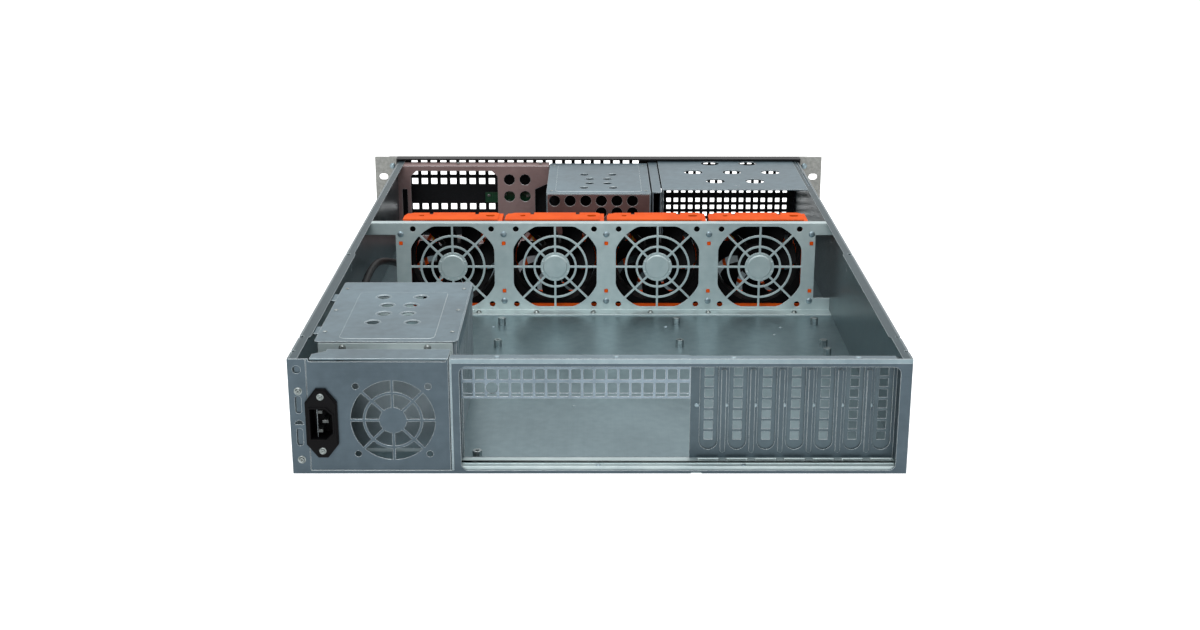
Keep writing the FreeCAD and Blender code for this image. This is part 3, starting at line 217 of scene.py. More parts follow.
# Moulded plastic: even colour with a fine spark-eroded grain, rounded edges and a low gloss
def mouldedPlastic(name, low, high, roughness, grainMm=0.5, strength=0.12, edge=None, specular=0.5):
    material, tree, shader, place = startMaterial(name, roughness, 0.0, specular)
    tone = addNode(tree, "ShaderNodeTexNoise", {"Vector": place, "Scale": 40.0, "Detail": 3.0})
    colour = mixed(tree, tone, low, high)
    # the lighter edge colour is a painted highlight along the moulded edges
    normal = edgeWearAndHighlight(tree, colour, edge or high, 0.6, 0.5, shader)
    grain = addNode(tree, "ShaderNodeTexNoise", {"Vector": place, "Scale": 1000 / grainMm, "Detail": 2.0})
    grained(tree, shader, grain, strength, 0.0001, normal)
    return material


# Black powder coat on steel: orange-peel bumps under a half-dull film
def powderCoat(name, low, high):
    material, tree, shader, place = startMaterial(name, 0.5, 0.0, 0.2)
    peel = addNode(tree, "ShaderNodeTexNoise", {"Vector": place, "Scale": 900.0, "Detail": 2.0})
    colour = mixed(tree, peel, low, high)
    # the grey edge colour is a painted highlight, partly the coat chipped at its edges
    normal = edgeWearAndHighlight(tree, colour, "#3a3d40", 0.5, 0.5, shader)
    feed(tree, shader, {"Roughness": spread(tree, peel, 0.38, 0.5)})
    grained(tree, shader, peel, 0.2, 0.0001, normal)
    return material


# Plated or plain metal parts: screws, shells, pins and posts, with faint handling marks
def barePlate(name, low, high, roughness, metallic=0.9):
    material, tree, shader, place = startMaterial(name, roughness, metallic)
    marks = addNode(tree, "ShaderNodeTexNoise", {"Vector": place, "Scale": 350.0, "Detail": 3.0})
    colour = mixed(tree, marks, low, high)
    # the near-white edge colour is a painted highlight, partly bare metal
    normal = edgeWearAndHighlight(tree, colour, "#e6e8e6", 0.25, 0.5, shader)
    feed(tree, shader, {"Normal": normal,
                        "Roughness": spread(tree, marks, roughness * 0.8, roughness * 1.25)})
    return material


# Solder mask over glass laminate: deep green, glossy, with copper shapes showing faintly
def solderMask(name, low, high):
    material, tree, shader, place = startMaterial(name, 0.3)
    copper = addNode(tree, "ShaderNodeTexBrick", {"Vector": place, "Scale": 260.0, "Mortar Size": 0.03,
                                                  "Color1": linear(low), "Color2": linear(low),
                                                  "Mortar": linear(high)})
    feed(tree, shader, {"Base Color": copper, "Coat Weight": 0.4})
    return material


# Flexible PVC sheath: matt, very slightly mottled
def pvcSheath(name, low, high, roughness=0.5):
    material, tree, shader, place = startMaterial(name, roughness, 0.0, 0.2)
    tone = addNode(tree, "ShaderNodeTexNoise", {"Vector": place, "Scale": 300.0, "Detail": 2.0})
    feed(tree, shader, {"Base Color": mixed(tree, tone, low, high)})
    return material


finish = {
    "rolled": zincSteel("rolledZincSteel", "#55656d", "#6d8089", "x"),
    # rear: a darker copy of the zinc steel, painted shade on the outer rear faces
    "rear": zincSteel("shadedRearZincSteel", "#3c4951", "#4b5962", "x"),
    # recessed: a darker copy, painted shade on the io wall set back in the rear
    "recessed": zincSteel("recessShadedZincSteel", "#39464d", "#48565d", "x"),
    # cover: a darker copy for the slot covers, painted shade
    "cover": zincSteel("coverShadedZincSteel", "#3e4b51", "#4e5d64", "z"),
    # floor: a lighter copy, painted light on the floor that faces up to the lamps
    "floor": zincSteel("floorLitZincSteel", "#667a80", "#7b8f95", "y", 0.8, 0.32),
    # lip: a darker copy for the tub's side walls, painted shade inside the tub
    "lip": zincSteel("sideShadedZincSteel", "#46555b", "#596a70", "y", 0.85, 0.28),
    # lipTop: the darkest copy, for the tub's top lips, painted shade
    "lipTop": zincSteel("lipTopShadedZincSteel", "#2f3f45", "#3e4f55", "y"),
    # vent: a lighter, glossier copy for the vent grid, painted highlight on its ribs
    "vent": zincSteel("ventHighlightZincSteel", "#5c6a73", "#7a8994", "x", 0.7, 0.3),
    # fold: a lighter copy, painted highlight along the rear's top fold and post
    "fold": zincSteel("foldHighlightZincSteel", "#6e7f86", "#86979d", "x"),
    # guard: a much lighter copy for the fan wall, the io ledge and the cage lip, painted light on them
    "guard": zincSteel("brightLitZincSteel", "#a3b4b6", "#bccaca", "x", 0.5),
    # cageWall: a lighter copy for the rear cage's wall, painted light where it sits in shade behind the grille
    "cageWall": zincSteel("cageLitZincSteel", "#6f7d82", "#85929a", "z", 0.4),
    # brown: a brownish copy for the supply bracket, painted reflection tint
    "brown": zincSteel("brownReflectionZincSteel", "#866f6e", "#9c8482", "x"),
    # darkBrown: the brownish painted reflection tint, darker still with painted shade
    "darkBrown": zincSteel("brownReflectionShadedZincSteel", "#5e4745", "#745b58", "x"),
    "ear": barePlate("satinAluminium", "#80817e", "#989995", 0.45, 0.6),
    "black": powderCoat("blackPowderCoat", "#0b0b0d", "#141417"),
    # the plastics' lighter edge colours are painted highlights along their edges
    "orange": mouldedPlastic("orangeAbs", "#d84c0c", "#e85c18", 0.6, edge="#f47434", specular=0.1),
    "fanBlack": mouldedPlastic("glassFilledNylon", "#050506", "#0a0a0c", 0.55, edge="#161618", specular=0.1),
    "rotorBlack": mouldedPlastic("polyesterFanBlade", "#040405", "#08080a", 0.55, edge="#151517",
                                 specular=0.08),
    "inletBlack": mouldedPlastic("blackPolycarbonate", "#030304", "#070709", 0.5, edge="#141417",
                                 specular=0.08),
    "nickel": barePlate("nickelPlate", "#7c8080", "#9a9d9c", 0.32),
    "screw": barePlate("brightZincPlate", "#59625f", "#8d9696", 0.3),
    "post": barePlate("nickelledPost", "#7f8b8e", "#a9b4b5", 0.3),
    # pin: a much darker copy of the nickel plate, for the inlet's pins
    "pin": barePlate("darkenedNickelPin", "#3c3f3f", "#555959", 0.4),
    "rivet": barePlate("zincRivet", "#74858c", "#8fa0a7", 0.35, 0.7),
    "board": solderMask("greenSolderMask", "#0e3a24", "#1d5a38"),
    "lamp": mouldedPlastic("clearAcrylic", "#9fb4bd", "#b7c9cf", 0.15),
    "sheath": pvcSheath("blackPvcSheath", "#0c0c0d", "#161617"),
    "yellowWire": pvcSheath("yellowPvcWire", "#c98a18", "#e8ae30", 0.4),
    "redWire": pvcSheath("redPvcWire", "#a52a1c", "#c83c26", 0.4),
}

nodeFinish = {  # the CAD nodes that show as they are
    "inlet_pins": "pin", "fan_guides": "orange", "rear_cage_side": "cageWall", "ear_left": "ear",
    "ear_right": "ear", "usb_ports": "nickel", "indicator_lamps": "lamp", "button_switches": "fanBlack",
    "power_button": "fanBlack", "reset_button": "fanBlack", "supply_bracket": "brown",
    "bay_divider": "rolled", "board_standoffs": "post", "lead_plug": "inletBlack",
    **{f"slot_cover_{k}": "cover" for k in range(1, 8)},
}
for name, look in nodeFinish.items():
    nodes[name].data.materials.clear()
    nodes[name].data.materials.append(finish[look])
print("materials made:", len(finish))


def addPiece(name, mesh, look, body="case"):  # its look takes the place of any before
    item = linked(name, mesh)
    mesh.materials.clear()
    mesh.materials.append(finish[look])
    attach(item, body)
    return item


def newTree(name, sockets):  # a geometry nodes tree with its sizes as named inputs
    tree = bpy.data.node_groups.new(name, "GeometryNodeTree")
    tree.interface.new_socket("Geometry", in_out="INPUT", socket_type="NodeSocketGeometry")
    for label, kind in sockets.items():
        tree.interface.new_socket(label, in_out="INPUT", socket_type="NodeSocket" + kind)
    tree.interface.new_socket("Geometry", in_out="OUTPUT", socket_type="NodeSocketGeometry")
    return tree, tree.nodes.new("NodeGroupInput").outputs


def evaluated(item):  # the plain mesh of an object with its modifiers, which then goes
    mesh = bpy.data.meshes.new_from_object(item.evaluated_get(bpy.context.evaluated_depsgraph_get()))
    bpy.data.objects.remove(item)
    return mesh


def grown(mesh, tree, values):  # the plain mesh that a tree makes from a mesh
    item = linked("base", mesh)
    modifier = item.modifiers.new("grow", "NODES")
    modifier.node_group = tree
    for socket in tree.interface.items_tree:
        if socket.in_out == "INPUT" and socket.name in values:
            modifier[socket.identifier] = values[socket.name]
    return evaluated(item)


def sheetTree():  # loops in a plane, filled with the holes left open, and given their thickness
    tree, given = newTree("stampedSheet", {"Thickness": "Float", "Material": "Material"})
    curve = addNode(tree, "GeometryNodeMeshToCurve", {0: given["Geometry"]})
    filled = addNode(tree, "GeometryNodeFillCurve", {0: curve})
    raised = addNode(tree, "GeometryNodeExtrudeMesh", {0: filled, "Offset Scale": given["Thickness"],
                                                       "Individual": False})
    under = addNode(tree, "GeometryNodeFlipFaces", {0: filled})
    both = addNode(tree, "GeometryNodeJoinGeometry", {0: [under, raised]})
    welded = addNode(tree, "GeometryNodeMergeByDistance", {0: both, "Distance": 1e-6})
    painted = addNode(tree, "GeometryNodeSetMaterial", {0: welded, "Material": given["Material"]})
    addNode(tree, "NodeGroupOutput", {0: painted})
    return tree


stampedSheet = sheetTree()
planes = {
    "up": Matrix.Identity(4),  # drawn in x and y, thick along +z
    "behind": Matrix.Rotation(math.pi / 2, 4, "X"),  # drawn in x and z, thick along +y
    "side": Matrix(((0, 0, 1, 0), (1, 0, 0, 0), (0, 1, 0, 0), (0, 0, 0, 1))),  # drawn in y and z, along +x
}


def sheet(loops, thick, plane, x=0.0, y=0.0, z=0.0):
    vertices, edges = [], []
    for loop in loops:
        first, count = len(vertices), len(loop)
        vertices += [(u * mm, v * mm, 0) for u, v in loop]
        edges += [(first + i, first + (i + 1) % count) for i in range(count)]
    mesh = bpy.data.meshes.new("loops")
    mesh.from_pydata(vertices, edges, [])
    made = grown(mesh, stampedSheet, {"Thickness": thick * mm, "Material": finish["rolled"]})
    depth = thick if plane == "behind" else 0
    made.transform(Matrix.Translation(at(x, y + depth, z)) @ planes[plane])
    return made


def joined(meshes, smoothAngle=35):
    shape = bmesh.new()
    for mesh in meshes:
        shape.from_mesh(mesh)
    result = bpy.data.meshes.new("joined")
    shape.to_mesh(result)
    shape.free()
    result.shade_smooth()
    result.set_sharp_from_angle(angle=math.radians(smoothAngle))
    return result


def dress(name, parts, look, node=None, body="case", angle=35):
    # a piece from several meshes, in place of a CAD node where one is named
    item = addPiece(name, joined(parts, angle), look, body)
    if node:
        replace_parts(item, node)


def rect(left, low, right, high, corner=0.0, steps=4):
    if corner <= 0:
        return [(left, low), (right, low), (right, high), (left, high)]
    points = []
    for u, v, start in ((right - corner, low + corner, -90), (right - corner, high - corner, 0),
                        (left + corner, high - corner, 90), (left + corner, low + corner, 180)):
        for i in range(steps + 1):
            turn = math.radians(start + 90 * i / steps)
            points.append((u + corner * math.cos(turn), v + corner * math.sin(turn)))
    return points


def ring(u, v, radius, count=24):
    return [(u + radius * math.cos(2 * math.pi * i / count), v + radius * math.sin(2 * math.pi * i / count))
            for i in range(count)]


def slotAt(u, v, wide, tall, corner=0.0, steps=4):  # a rectangle about its middle, by its half sizes
    return rect(u - wide, v - tall, u + wide, v + tall, corner, steps)


def fourHoles(u, v, reach, radius, count=24):  # the screw holes at the corners of a fan
    return [ring(u + side * reach, v + level * reach, radius, count) for side in (-1, 1) for level in (-1, 1)]


def block(low, high):  # a plain bar between two corners, for folds and tongues
    return sheet([rect(low[0], low[1], high[0], high[1])], high[2] - low[2], "up", z=low[2])


def lathe(profile, x, y, z, count=48):
    # a closed shape turned about the y axis, its profile given as (radius, distance along the axis)
    shape = bmesh.new()
    rings = []
    for radius, along in profile:
        if radius < 1e-6:
            rings.append([shape.verts.new((0, 0, along * mm))])
        else:
            rings.append([shape.verts.new((radius * mm * math.cos(2 * math.pi * i / count),
                                           radius * mm * math.sin(2 * math.pi * i / count), along * mm))
                          for i in range(count)])
    for low, high in zip(rings, rings[1:]):
        for i in range(count):
            j = (i + 1) % count
            corners = [low[i % len(low)], low[j % len(low)], high[j % len(high)], high[i % len(high)]]
            unique = list(dict.fromkeys(corners))
            if len(unique) > 2:
                shape.faces.new(unique)
    bmesh.ops.recalc_face_normals(shape, faces=shape.faces)
    mesh = bpy.data.meshes.new("turned")
    shape.to_mesh(mesh)
    shape.free()
    mesh.transform(Matrix.Translation(at(x, y, z)) @ Matrix.Rotation(-math.pi / 2, 4, "X"))
    return mesh


def sector(u, v, start, end, inner, reach, half, steps=10):
    # an opening between two rings and two bars; reach gives the outer radius at a turn
    points = []
    begin = start + math.asin(half / reach(start))
    stop = end - math.asin(half / reach(end))
    for i in range(steps + 1):
        turn = begin + (stop - begin) * i / steps
        points.append((u + reach(turn) * math.cos(turn), v + reach(turn) * math.sin(turn)))
    begin = end - math.asin(half / inner)
    stop = start + math.asin(half / inner)
    for i in range(steps + 1):
        turn = begin + (stop - begin) * i / steps
        points.append((u + inner * math.cos(turn), v + inner * math.sin(turn)))
    return points


def guardLoops(u, v, guard):
    loops = []
    half = guard["bar"] / 2
    bands = zip([guard["hub"]] + [radius + half for radius in guard["rings"]],
                [lambda turn, r=radius: r - half for radius in guard["rings"]] + [guard["reach"]])
    for inner, reach in bands:
        for k in range(8):
            loops.append(sector(u, v, math.radians(45 * k), math.radians(45 * k + 45), inner, reach, half))
    return loops


sheetThick = 1.2
caseTop = 85.0
underTop = 83.8  # the lower face of the sheet along the top
fanPitch = 94.04
fanPlaces = [6.74 + fanPitch * (k - 1.5) for k in range(4)]
pinPlaces = [fanPlaces[0] + fanPitch * (k - 0.5) for k in range(5)]  # beside and between the fans

fanWall = {
    "y": 377.65,
    "fanHeight": 43.7,
    "guard": {"hub": 13.5, "rings": (19.0, 29.0), "bar": 1.9,
              "reach": lambda turn: min(42.0, 38.25 / max(abs(math.cos(turn)), abs(math.sin(turn))))},
    "screwHole": 2.7,
    "screwReach": 35.75,
    "pinHole": 1.75,
    "pinHeights": (66.0, 20.7),
    "gap": (-186.0, 198.4, 13.8, 74.0),
    "half": 213.8,
    "topHalf": 208.2,
}


def makeFanWall():
    y, half, top = fanWall["y"], fanWall["half"], fanWall["topHalf"]
    left, right, low, high = fanWall["gap"]
    outline = [(-half, sheetThick), (half, sheetThick), (half, low), (right, low), (right, high), (half, high),
               (half, 83.5), (top, 83.5), (top, 85), (-top, 85), (-top, 83.5), (-half, 83.5), (-half, high),
               (left, high), (left, low), (-half, low)]
    loops = [outline]
    z, reach = fanWall["fanHeight"], fanWall["screwReach"]
    for x in fanPlaces:
        loops += guardLoops(x, z, fanWall["guard"])
        loops += fourHoles(x, z, reach, fanWall["screwHole"], 16)
    side = fanWall["pinHole"]
    for x in pinPlaces:
        loops += [slotAt(x, level, side, side, 0.8) for level in fanWall["pinHeights"]]
    parts = [sheet(loops, sheetThick, "behind", y=y)]
    parts.append(block((-top, y + sheetThick, 83.8), (top, y + 8, 85)))
    parts.append(block((-half, y - 15, sheetThick), (half, y, 2 * sheetThick)))
    for x in fanPlaces:  # the guards' hubs stand proud, with small ticks round the rim
        parts.append(lathe([(0, -0.7), (10.4, -0.7), (11.0, 0), (11.0, 0.3), (0, 0.3)], x, y, z))
        for k in range(8):
            turn = math.radians(22.5 + 45 * k)
            along, across = (math.cos(turn), math.sin(turn)), (-math.sin(turn), math.cos(turn))
            tick = [(x + along[0] * a + across[0] * b, z + along[1] * a + across[1] * b)
                    for a, b in ((11.6, -0.5), (13.4, -0.5), (13.4, 0.5), (11.6, 0.5))]
            parts.append(sheet([tick], 0.5, "behind", y=y - 0.5))
    # the fan wall takes the much lighter copy: painted light on its face
    dress("fanWallSheet", parts, "guard", "fan_wall")


makeFanWall()

rearFrame = {
    "window": (-97.0, 2.4, 207.0, 79.2),
    "corner": 5.0,
    "bay": (-202.3, -103.6),
    "stripX": -208.65,
    "recesses": (51.5, 27.5),
    "recessSize": (4.4, 13.0),
    "dimple": 77.3,
    "dimpleRadius": 2.9,
    "keyHole": (38.3, 3.1),
    "footNotch": (64.0, 71.0, 1.3),
}


def makeRearFrame():
    left, low, right, high = rearFrame["window"]
    bayLeft, bayRight = rearFrame["bay"]
    near, far, rise = rearFrame["footNotch"]
    outline = [(-215, 0), (near, 0), (near, rise), (far, rise), (far, 0), (215, 0), (215, 85), (bayRight, 85),
               (bayRight, 2.4), (bayLeft, 2.4), (bayLeft, 85), (-215, 85)]
    x = rearFrame["stripX"]
    width, tall = rearFrame["recessSize"]
    keyZ, keyR = rearFrame["keyHole"]
    loops = [outline, rect(left, low, right, high, rearFrame["corner"], 8),
             ring(x, rearFrame["dimple"], rearFrame["dimpleRadius"])]
    loops += [slotAt(x, z, width / 2, tall / 2, width / 2 - 0.1, 6)
              for z in rearFrame["recesses"]]
    loops.append([(x + keyR * math.cos(math.pi * i / 12), keyZ - 1.5 + keyR * math.sin(math.pi * i / 12))
                  for i in range(13)])
    parts = [sheet(loops, sheetThick, "behind")]
    top = [(bayRight, sheetThick), (203.7, sheetThick), (203.7, 7), (63.05, 7), (61, 9), (bayRight, 9)]
    # the frame's face takes the darker rear copy: painted shade
    dress("rearFrameSheet", parts, "rear", "rear_frame")
    dress("rearReturn", [sheet([top], sheetThick, "up", z=underTop)], "rolled")
    # a thin strip along the top fold and the post, in a lighter copy of the steel: a painted highlight for the
    # rounded fold
    fold = [block((bayRight, -0.12, 81.6), (215, 0, 85)),
            block((bayRight + 0.2, -0.12, 2.6), (bayRight + 1.5, 0, 81.6))]
    dress("rearFoldHighlight", fold, "fold")


makeRearFrame()

rearPlate = {
    "sides": (-202.0, -104.4, 2.7),  # left, right and foot
    "guard": {"hub": 9.6, "rings": (20.0,), "bar": 2.0, "reach": lambda turn: 29.3},
    "centre": (-143.6, 40.0),
    "holeReach": 25.0,
    "holeRadius": 2.3,
    "inlet": (-202.6, 24.8, -183.0, 51.8),
    "flangeDepth": 21.0,
}


def makeRearPlate():
    left, right, low = rearPlate["sides"]
    x, z = rearPlate["centre"]
    reach = rearPlate["holeReach"]
    inletLeft, inletLow, inletRight, inletHigh = rearPlate["inlet"]
    # the inlet's cut-out runs out at the left edge, so the outline steps round it
    outline = [(left, low), (right, low), (right, 85), (right - 1.2, 85), (right - 1.6, 83.0),
               (left + 1.9, 83.0), (left + 1.5, 85), (left, 85), (left, inletHigh),
               (inletRight, inletHigh), (inletRight, inletLow), (left, inletLow)]
    loops = [outline] + guardLoops(x, z, rearPlate["guard"])
    loops += fourHoles(x, z, reach, rearPlate["holeRadius"])
    parts = [sheet(loops, sheetThick, "behind")]
    # top flange, its left end stepped in where the case's own lip begins
    top = [(-199.5, sheetThick), (right, sheetThick), (right, rearPlate["flangeDepth"]),
           (-190.5, rearPlate["flangeDepth"]), (-190.5, 16.5), (-199.5, 10.5)]
    dress("rearPlateFlange", [sheet([top], sheetThick, "up", z=underTop)], "rolled")
    tab = [rect(-210.2, low + 1.2, -196, 82.6), rect(-210, 35.4, -206.9, 41.4),
           rect(inletLeft + 0.1, inletLow, -196.4, inletHigh)]
    parts.append(sheet(tab, sheetThick, "behind", y=sheetThick))
    # the plate's face takes the darker rear copy: painted shade
    dress("rearPlateSheet", parts, "rear", "rear_plate")


makeRearPlate()

ioWall = {
    "sides": (-98.2, 208.2),
    "foot": 5.8,
    "top": 79.2,
    "face": 12.7,
    "ports": (-95.7, 7.0, 63.05, 51.45),
    "ventStart": -92.3,
    "ventPitch": 8.4,
    "ventCount": 19,
    "ventHalf": 3.4,
    "ventRows": ((52.9, 55.1, 0.9), (55.4, 63.2, 1.1), (65.4, 73.2, 1.1), (74.9, 78.9, 1.0)),
    "roundVent": (2, 1, 4.3),  # column, row and radius of the one that is a round hole
    "slotFirst": 76.25,
    "slotPitch": 20.32,
    "slotHalf": 6.4,
    "slotLow": 13.2,
    "slotHigh": 76.7,
    "ribHalf": 1.7,
    "lance": (8.0, 3.4),
}


def slotLoop(x):
    half, low = ioWall["slotHalf"], ioWall["slotLow"]
    bottom = [(x + half * math.cos(math.pi * i / 12), low + half + half * math.sin(math.pi * i / 12))
              for i in range(12, 25)]
    return bottom + [(x + half, ioWall["slotHigh"]), (x - half, ioWall["slotHigh"])]


def makeIoWall():
    face = ioWall["face"]
    left, right = ioWall["sides"]
    foot, top = ioWall["foot"], ioWall["top"]
    ports = ioWall["ports"]
    loops = []
    column, level, radius = ioWall["roundVent"]
    for i in range(ioWall["ventCount"]):
        x = ioWall["ventStart"] + i * ioWall["ventPitch"]
        half = ioWall["ventHalf"]
        for row, (low, high, corner) in enumerate(ioWall["ventRows"]):
            if (i, row) == (column, level):
                loops.append(ring(x, (low + high) / 2, radius))
            else:
                loops.append(rect(x - half, low, x + half, high, corner))
    slots = [ioWall["slotFirst"] + k * ioWall["slotPitch"] for k in range(7)]
    # the ventilated part over the ports and the part with the slots meet beside the first slot
    middle = ports[2]
    vents = [rect(left, ports[3], middle, top)] + loops
    # the vent grid takes the lighter copy: painted highlight on its ribs
    dress("ioVents", [sheet(vents, sheetThick, "behind", y=face)], "vent")
    loops = [[(left, foot), (right, foot), (right, top), (middle, top), (middle, ports[1]), (ports[0], ports[1]),
              (ports[0], ports[3]), (left, ports[3])]]
    loops += [slotLoop(x) for x in slots]
    parts = [sheet(loops, sheetThick, "behind", y=face)]
    step = []
    parts.append(block((left, sheetThick, top), (right, face + sheetThick, 80.4)))
    lanceHalf, lanceDeep = ioWall["lance"]
    ledge = [rect(left, 6, right, face)] + [rect(x - lanceHalf, 7.4, x + lanceHalf, 7.4 + lanceDeep, 0.8)
                                            for x in slots]
    step.append(sheet(ledge, sheetThick, "up", z=foot))
    step.append(block((left, 6, 3.8), (right, 7.2, 7)))
    step.append(block((left, 1.2, 3.8), (right, 6, 5)))
    step.append(block((left, 1.2, sheetThick), (right, 2.4, 3.8)))
    for x in (left, 207.0):
        parts.append(sheet([rect(1.2, 5, face, 79.2)], sheetThick, "side", x=x))
    for x in slots[:-1]:  # beads pressed between the slots
        middle, half = x + ioWall["slotPitch"] / 2, ioWall["ribHalf"]
        parts.append(sheet([rect(middle - half, 11.0, middle + half, 73.5, half - 0.05, 8)], 0.8, "behind",
                           y=face - 0.8))
    for x in slots:  # bridges lanced up out of the ledge, with a lip at the back
        half = lanceHalf - 0.6
        step.append(block((x - half, 8.4, 7.0), (x + half, 9.5, 8.2)))
        step.append(block((x - half, 8.4, 5.8), (x - half + 1.0, 9.5, 7.0)))
        step.append(block((x + half - 1.0, 8.4, 5.8), (x + half, 9.5, 7.0)))
    # the ledge takes the much lighter copy: painted light on it
    dress("ioLedge", step, "guard")
    # the io wall's face takes the darker copy: painted shade of its recess
    dress("ioWallSheet", parts, "recessed", "io_wall")


makeIoWall()

tub = {
    "half": 215.0,
    "depth": 658.5,
    "top": 85.0,
    "lip": 7.0,
    "wideLip": 8.4,
    "wideFrom": 48.0,
    "wideTo": 272.0,
    "bites": ((15.0, 18.5, 1.6), (46.5, 50.5, 2.2), (268.5, 273.0, 2.4)),  # notches in the top corner
    "longSlots": ((530.0, 590.0), (607.0, 652.0)),
    "wallSlots": ((291.0, 67.6, 0.9, 3.0), (385.0, 66.0, 0.9, 0.9)),
    "floorHoles": ((163.0, 328.0, 1.6), (155.0, 307.0, 1.3), (-140.0, 300.0, 1.6), (110.0, 210.0, 1.4),
                   (-20.0, 130.0, 1.4)),
}


def makeTub():
    half, deep, top = tub["half"], tub["depth"], tub["top"]
    inner = half - sheetThick
    floor = sheet([rect(-half, sheetThick, half, deep)] + [ring(*hole, 12) for hole in tub["floorHoles"]],
                  sheetThick, "up")
    # the floor takes the lighter copy: painted light
    dress("tubFloor", [floor], "floor", "chassis_tub")
    parts = []
    wall = [(sheetThick, sheetThick), (deep, sheetThick), (deep, top)]
    for near, far, cut in reversed(tub["bites"]):
        wall += [(far, top), (far, top - cut), (near, top - cut), (near, top)]
    wall.append((sheetThick, top))
    slots = [slotAt(y, z, u, v, min(u, v) - 0.05) for y, z, u, v in tub["wallSlots"]]
    lips = []
    for x in (-half, inner):
        parts.append(sheet([wall] + slots, sheetThick, "side", x=x))
    for side in (-1, 1):
        outer = side * inner
        edge = [(outer, sheetThick)]
        for near, far, cut in tub["bites"]:
            edge += [(outer, near), (outer - side * cut, near), (outer - side * cut, far), (outer, far)]
        edge.append((outer, deep))
        narrow, wide = side * (half - tub["lip"]), side * (half - tub["wideLip"])
        edge += [(narrow, deep), (narrow, tub["wideTo"] + 2), (wide, tub["wideTo"] - 2),
                 (wide, tub["wideFrom"] + 1), (narrow, tub["wideFrom"] - 1), (narrow, sheetThick)]
        loops = [edge]
        if side > 0:
            loops += [rect(211.4, near, 213.2, far, 0.5) for near, far in tub["longSlots"]]
        lips.append(sheet(loops, sheetThick, "up", z=top - sheetThick))
    # the side walls and top lips take darker copies: painted shade
    dress("tubSides", parts, "lip")
    dress("tubLips", lips, "lipTop")


makeTub()
print("rear sheets and fan wall made")

cages = {
    "rearTop": {"box": (-202.5, 38.0, -101.8, 186.0), "holes": (-152.2, 113.5, 4.6, 21.2),
                "emboss": (-186.0, 44.0, -118.0, 158.0), "lip": 10.0},
    "driveTop": {"box": (-51.8, 501.0, 51.6, 642.0), "holes": (-0.1, 555.5, 4.6, 20.0)},
    "bayTop": {"box": (63.4, 514.0, 208.2, 658.5), "radius": 9.75, "first": 98.7, "middle": 594.0,
               "pitch": 40.3},
}


def hourglass(x, y, radius, pitch):  # the eight vents of a drive cage
    return [ring(x + side * reach, y + level * pitch, radius) for side in (-1, 1)
            for level, reach in ((-1.5, 14.5), (-0.5, 9.0), (0.5, 9.0), (1.5, 14.5))]


def makeRearCageTop():
    cage = cages["rearTop"]
    left, near, right, far = cage["box"]
    low = caseTop - cage["lip"]
    parts = [sheet([rect(left, near, right, far, 2.5)] + hourglass(*cage["holes"]), 0.8, "up", z=84.2)]
    front = block((left + 2.6, near, low), (right - 2.6, near + sheetThick, 83.8))
    # the cage's front lip takes the much lighter copy: painted light along it
    dress("rearCageLip", [front], "guard")
    parts.append(block((right, near + 2.6, low), (right + sheetThick, far - 2.6, 85)))
    for y in (near + 29.6, near + 111.0):
        parts.append(block((-211, y - 8, 82.6), (left + 8, y + 8, 83.8)))
    # the pressed field stands up by half a millimetre, with a sloping border
    a, b, c, d = cage["emboss"]
    middleX, middleY, radius, pitch = cage["holes"]
    holes = hourglass(middleX, middleY, radius + 1.4, pitch)
    parts.append(sheet([rect(a, b, c, d, 5, 6)] + holes, 0.25, "up", z=85))
    dress("rearCageSheet", parts, "rolled", "rear_cage_top")


makeRearCageTop()


def makeDriveCage():
    left, near, right, far = cages["driveTop"]["box"]
    holes = hourglass(*cages["driveTop"]["holes"])
    parts = [sheet([rect(left, near, right, far, 1.5)] + holes, sheetThick, "up", z=82.8)]
    a, b, c, d = left + 9, near + 8, right - 9, far - 10
    parts.append(sheet([rect(a, b, c, d, 4, 6)] + holes, 0.3, "up", z=84))
    for x in (left, right - sheetThick):
        parts.append(sheet([rect(near, sheetThick, far, 82.8)], sheetThick, "side", x=x))
    dress("driveCageSheet", parts, "rolled", "front_drive_cage")
    wall = [rect(left + sheetThick, 42, right - sheetThick, 82.8)]
    wall += [ring(-43.6 + 15.4 * k, 76.5, 5.5) for k in range(6)]
    wall += [ring(-43.6 + 15.4 * k, 64.5, 5.5) for k in range(3, 6)]
    # the rear wall takes the darker brownish copy: painted reflection tint and painted shade
    dress("driveCageWall", [sheet(wall, sheetThick, "behind", y=near)], "darkBrown")


makeDriveCage()


controls = {
    "board": (-122.0, 40.5, -70.0, 51.7),
    "face": 643.9,
    "parts": ((-118.0, 48.6, 3.0), (-100.0, 49.4, 2.2), (-96.5, 42.6, 2.6), (-76.0, 47.8, 3.4), (-73.5, 42.4, 1.8)),
}


def makeControls():
    left, low, right, high = controls["board"]
    face = controls["face"]
    board = sheet([rect(left, low, right, high, 0.5)], 1.6, "behind", y=face)
    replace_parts(addPiece("controlBoardSheet", board, "board", "case"), "control_board")
    chips = [block((x - side / 2, face - 1.2, z - side / 3), (x + side / 2, face, z + side / 3))
             for x, z, side in controls["parts"]]
    dress("controlChips", chips, "nickel")


makeControls()

frontPanel = {
    "back": 658.5,
    "thick": 1.5,
    "height": 88.0,
    "half": 217.0,
    "flange": 9.0,
    "return": 13.0,
    "coarse": (-199.0, 10.4, 3.35),  # first column, pitch and half a hole
    "coarseRows": ((82.0, 24), (71.2, 9), (60.8, 9), (32.7, 9)),
    "fine": (68.7, 7.9, 2.4),
    "fineRows": (16.4, 24.3, 32.1, 40.0, 50.4, 60.8, 71.2, 82.0),
    "fineCount": 18,
    "buttons": (-116.0, -105.5),
    "lamps": (-80.0, -74.0),
    "controlX": -92.0,
    "controlZ": 44.0,
    "button": 4.3,
    "lamp": (1.5, 2.5),
    "port": (6.7, 3.0),
}


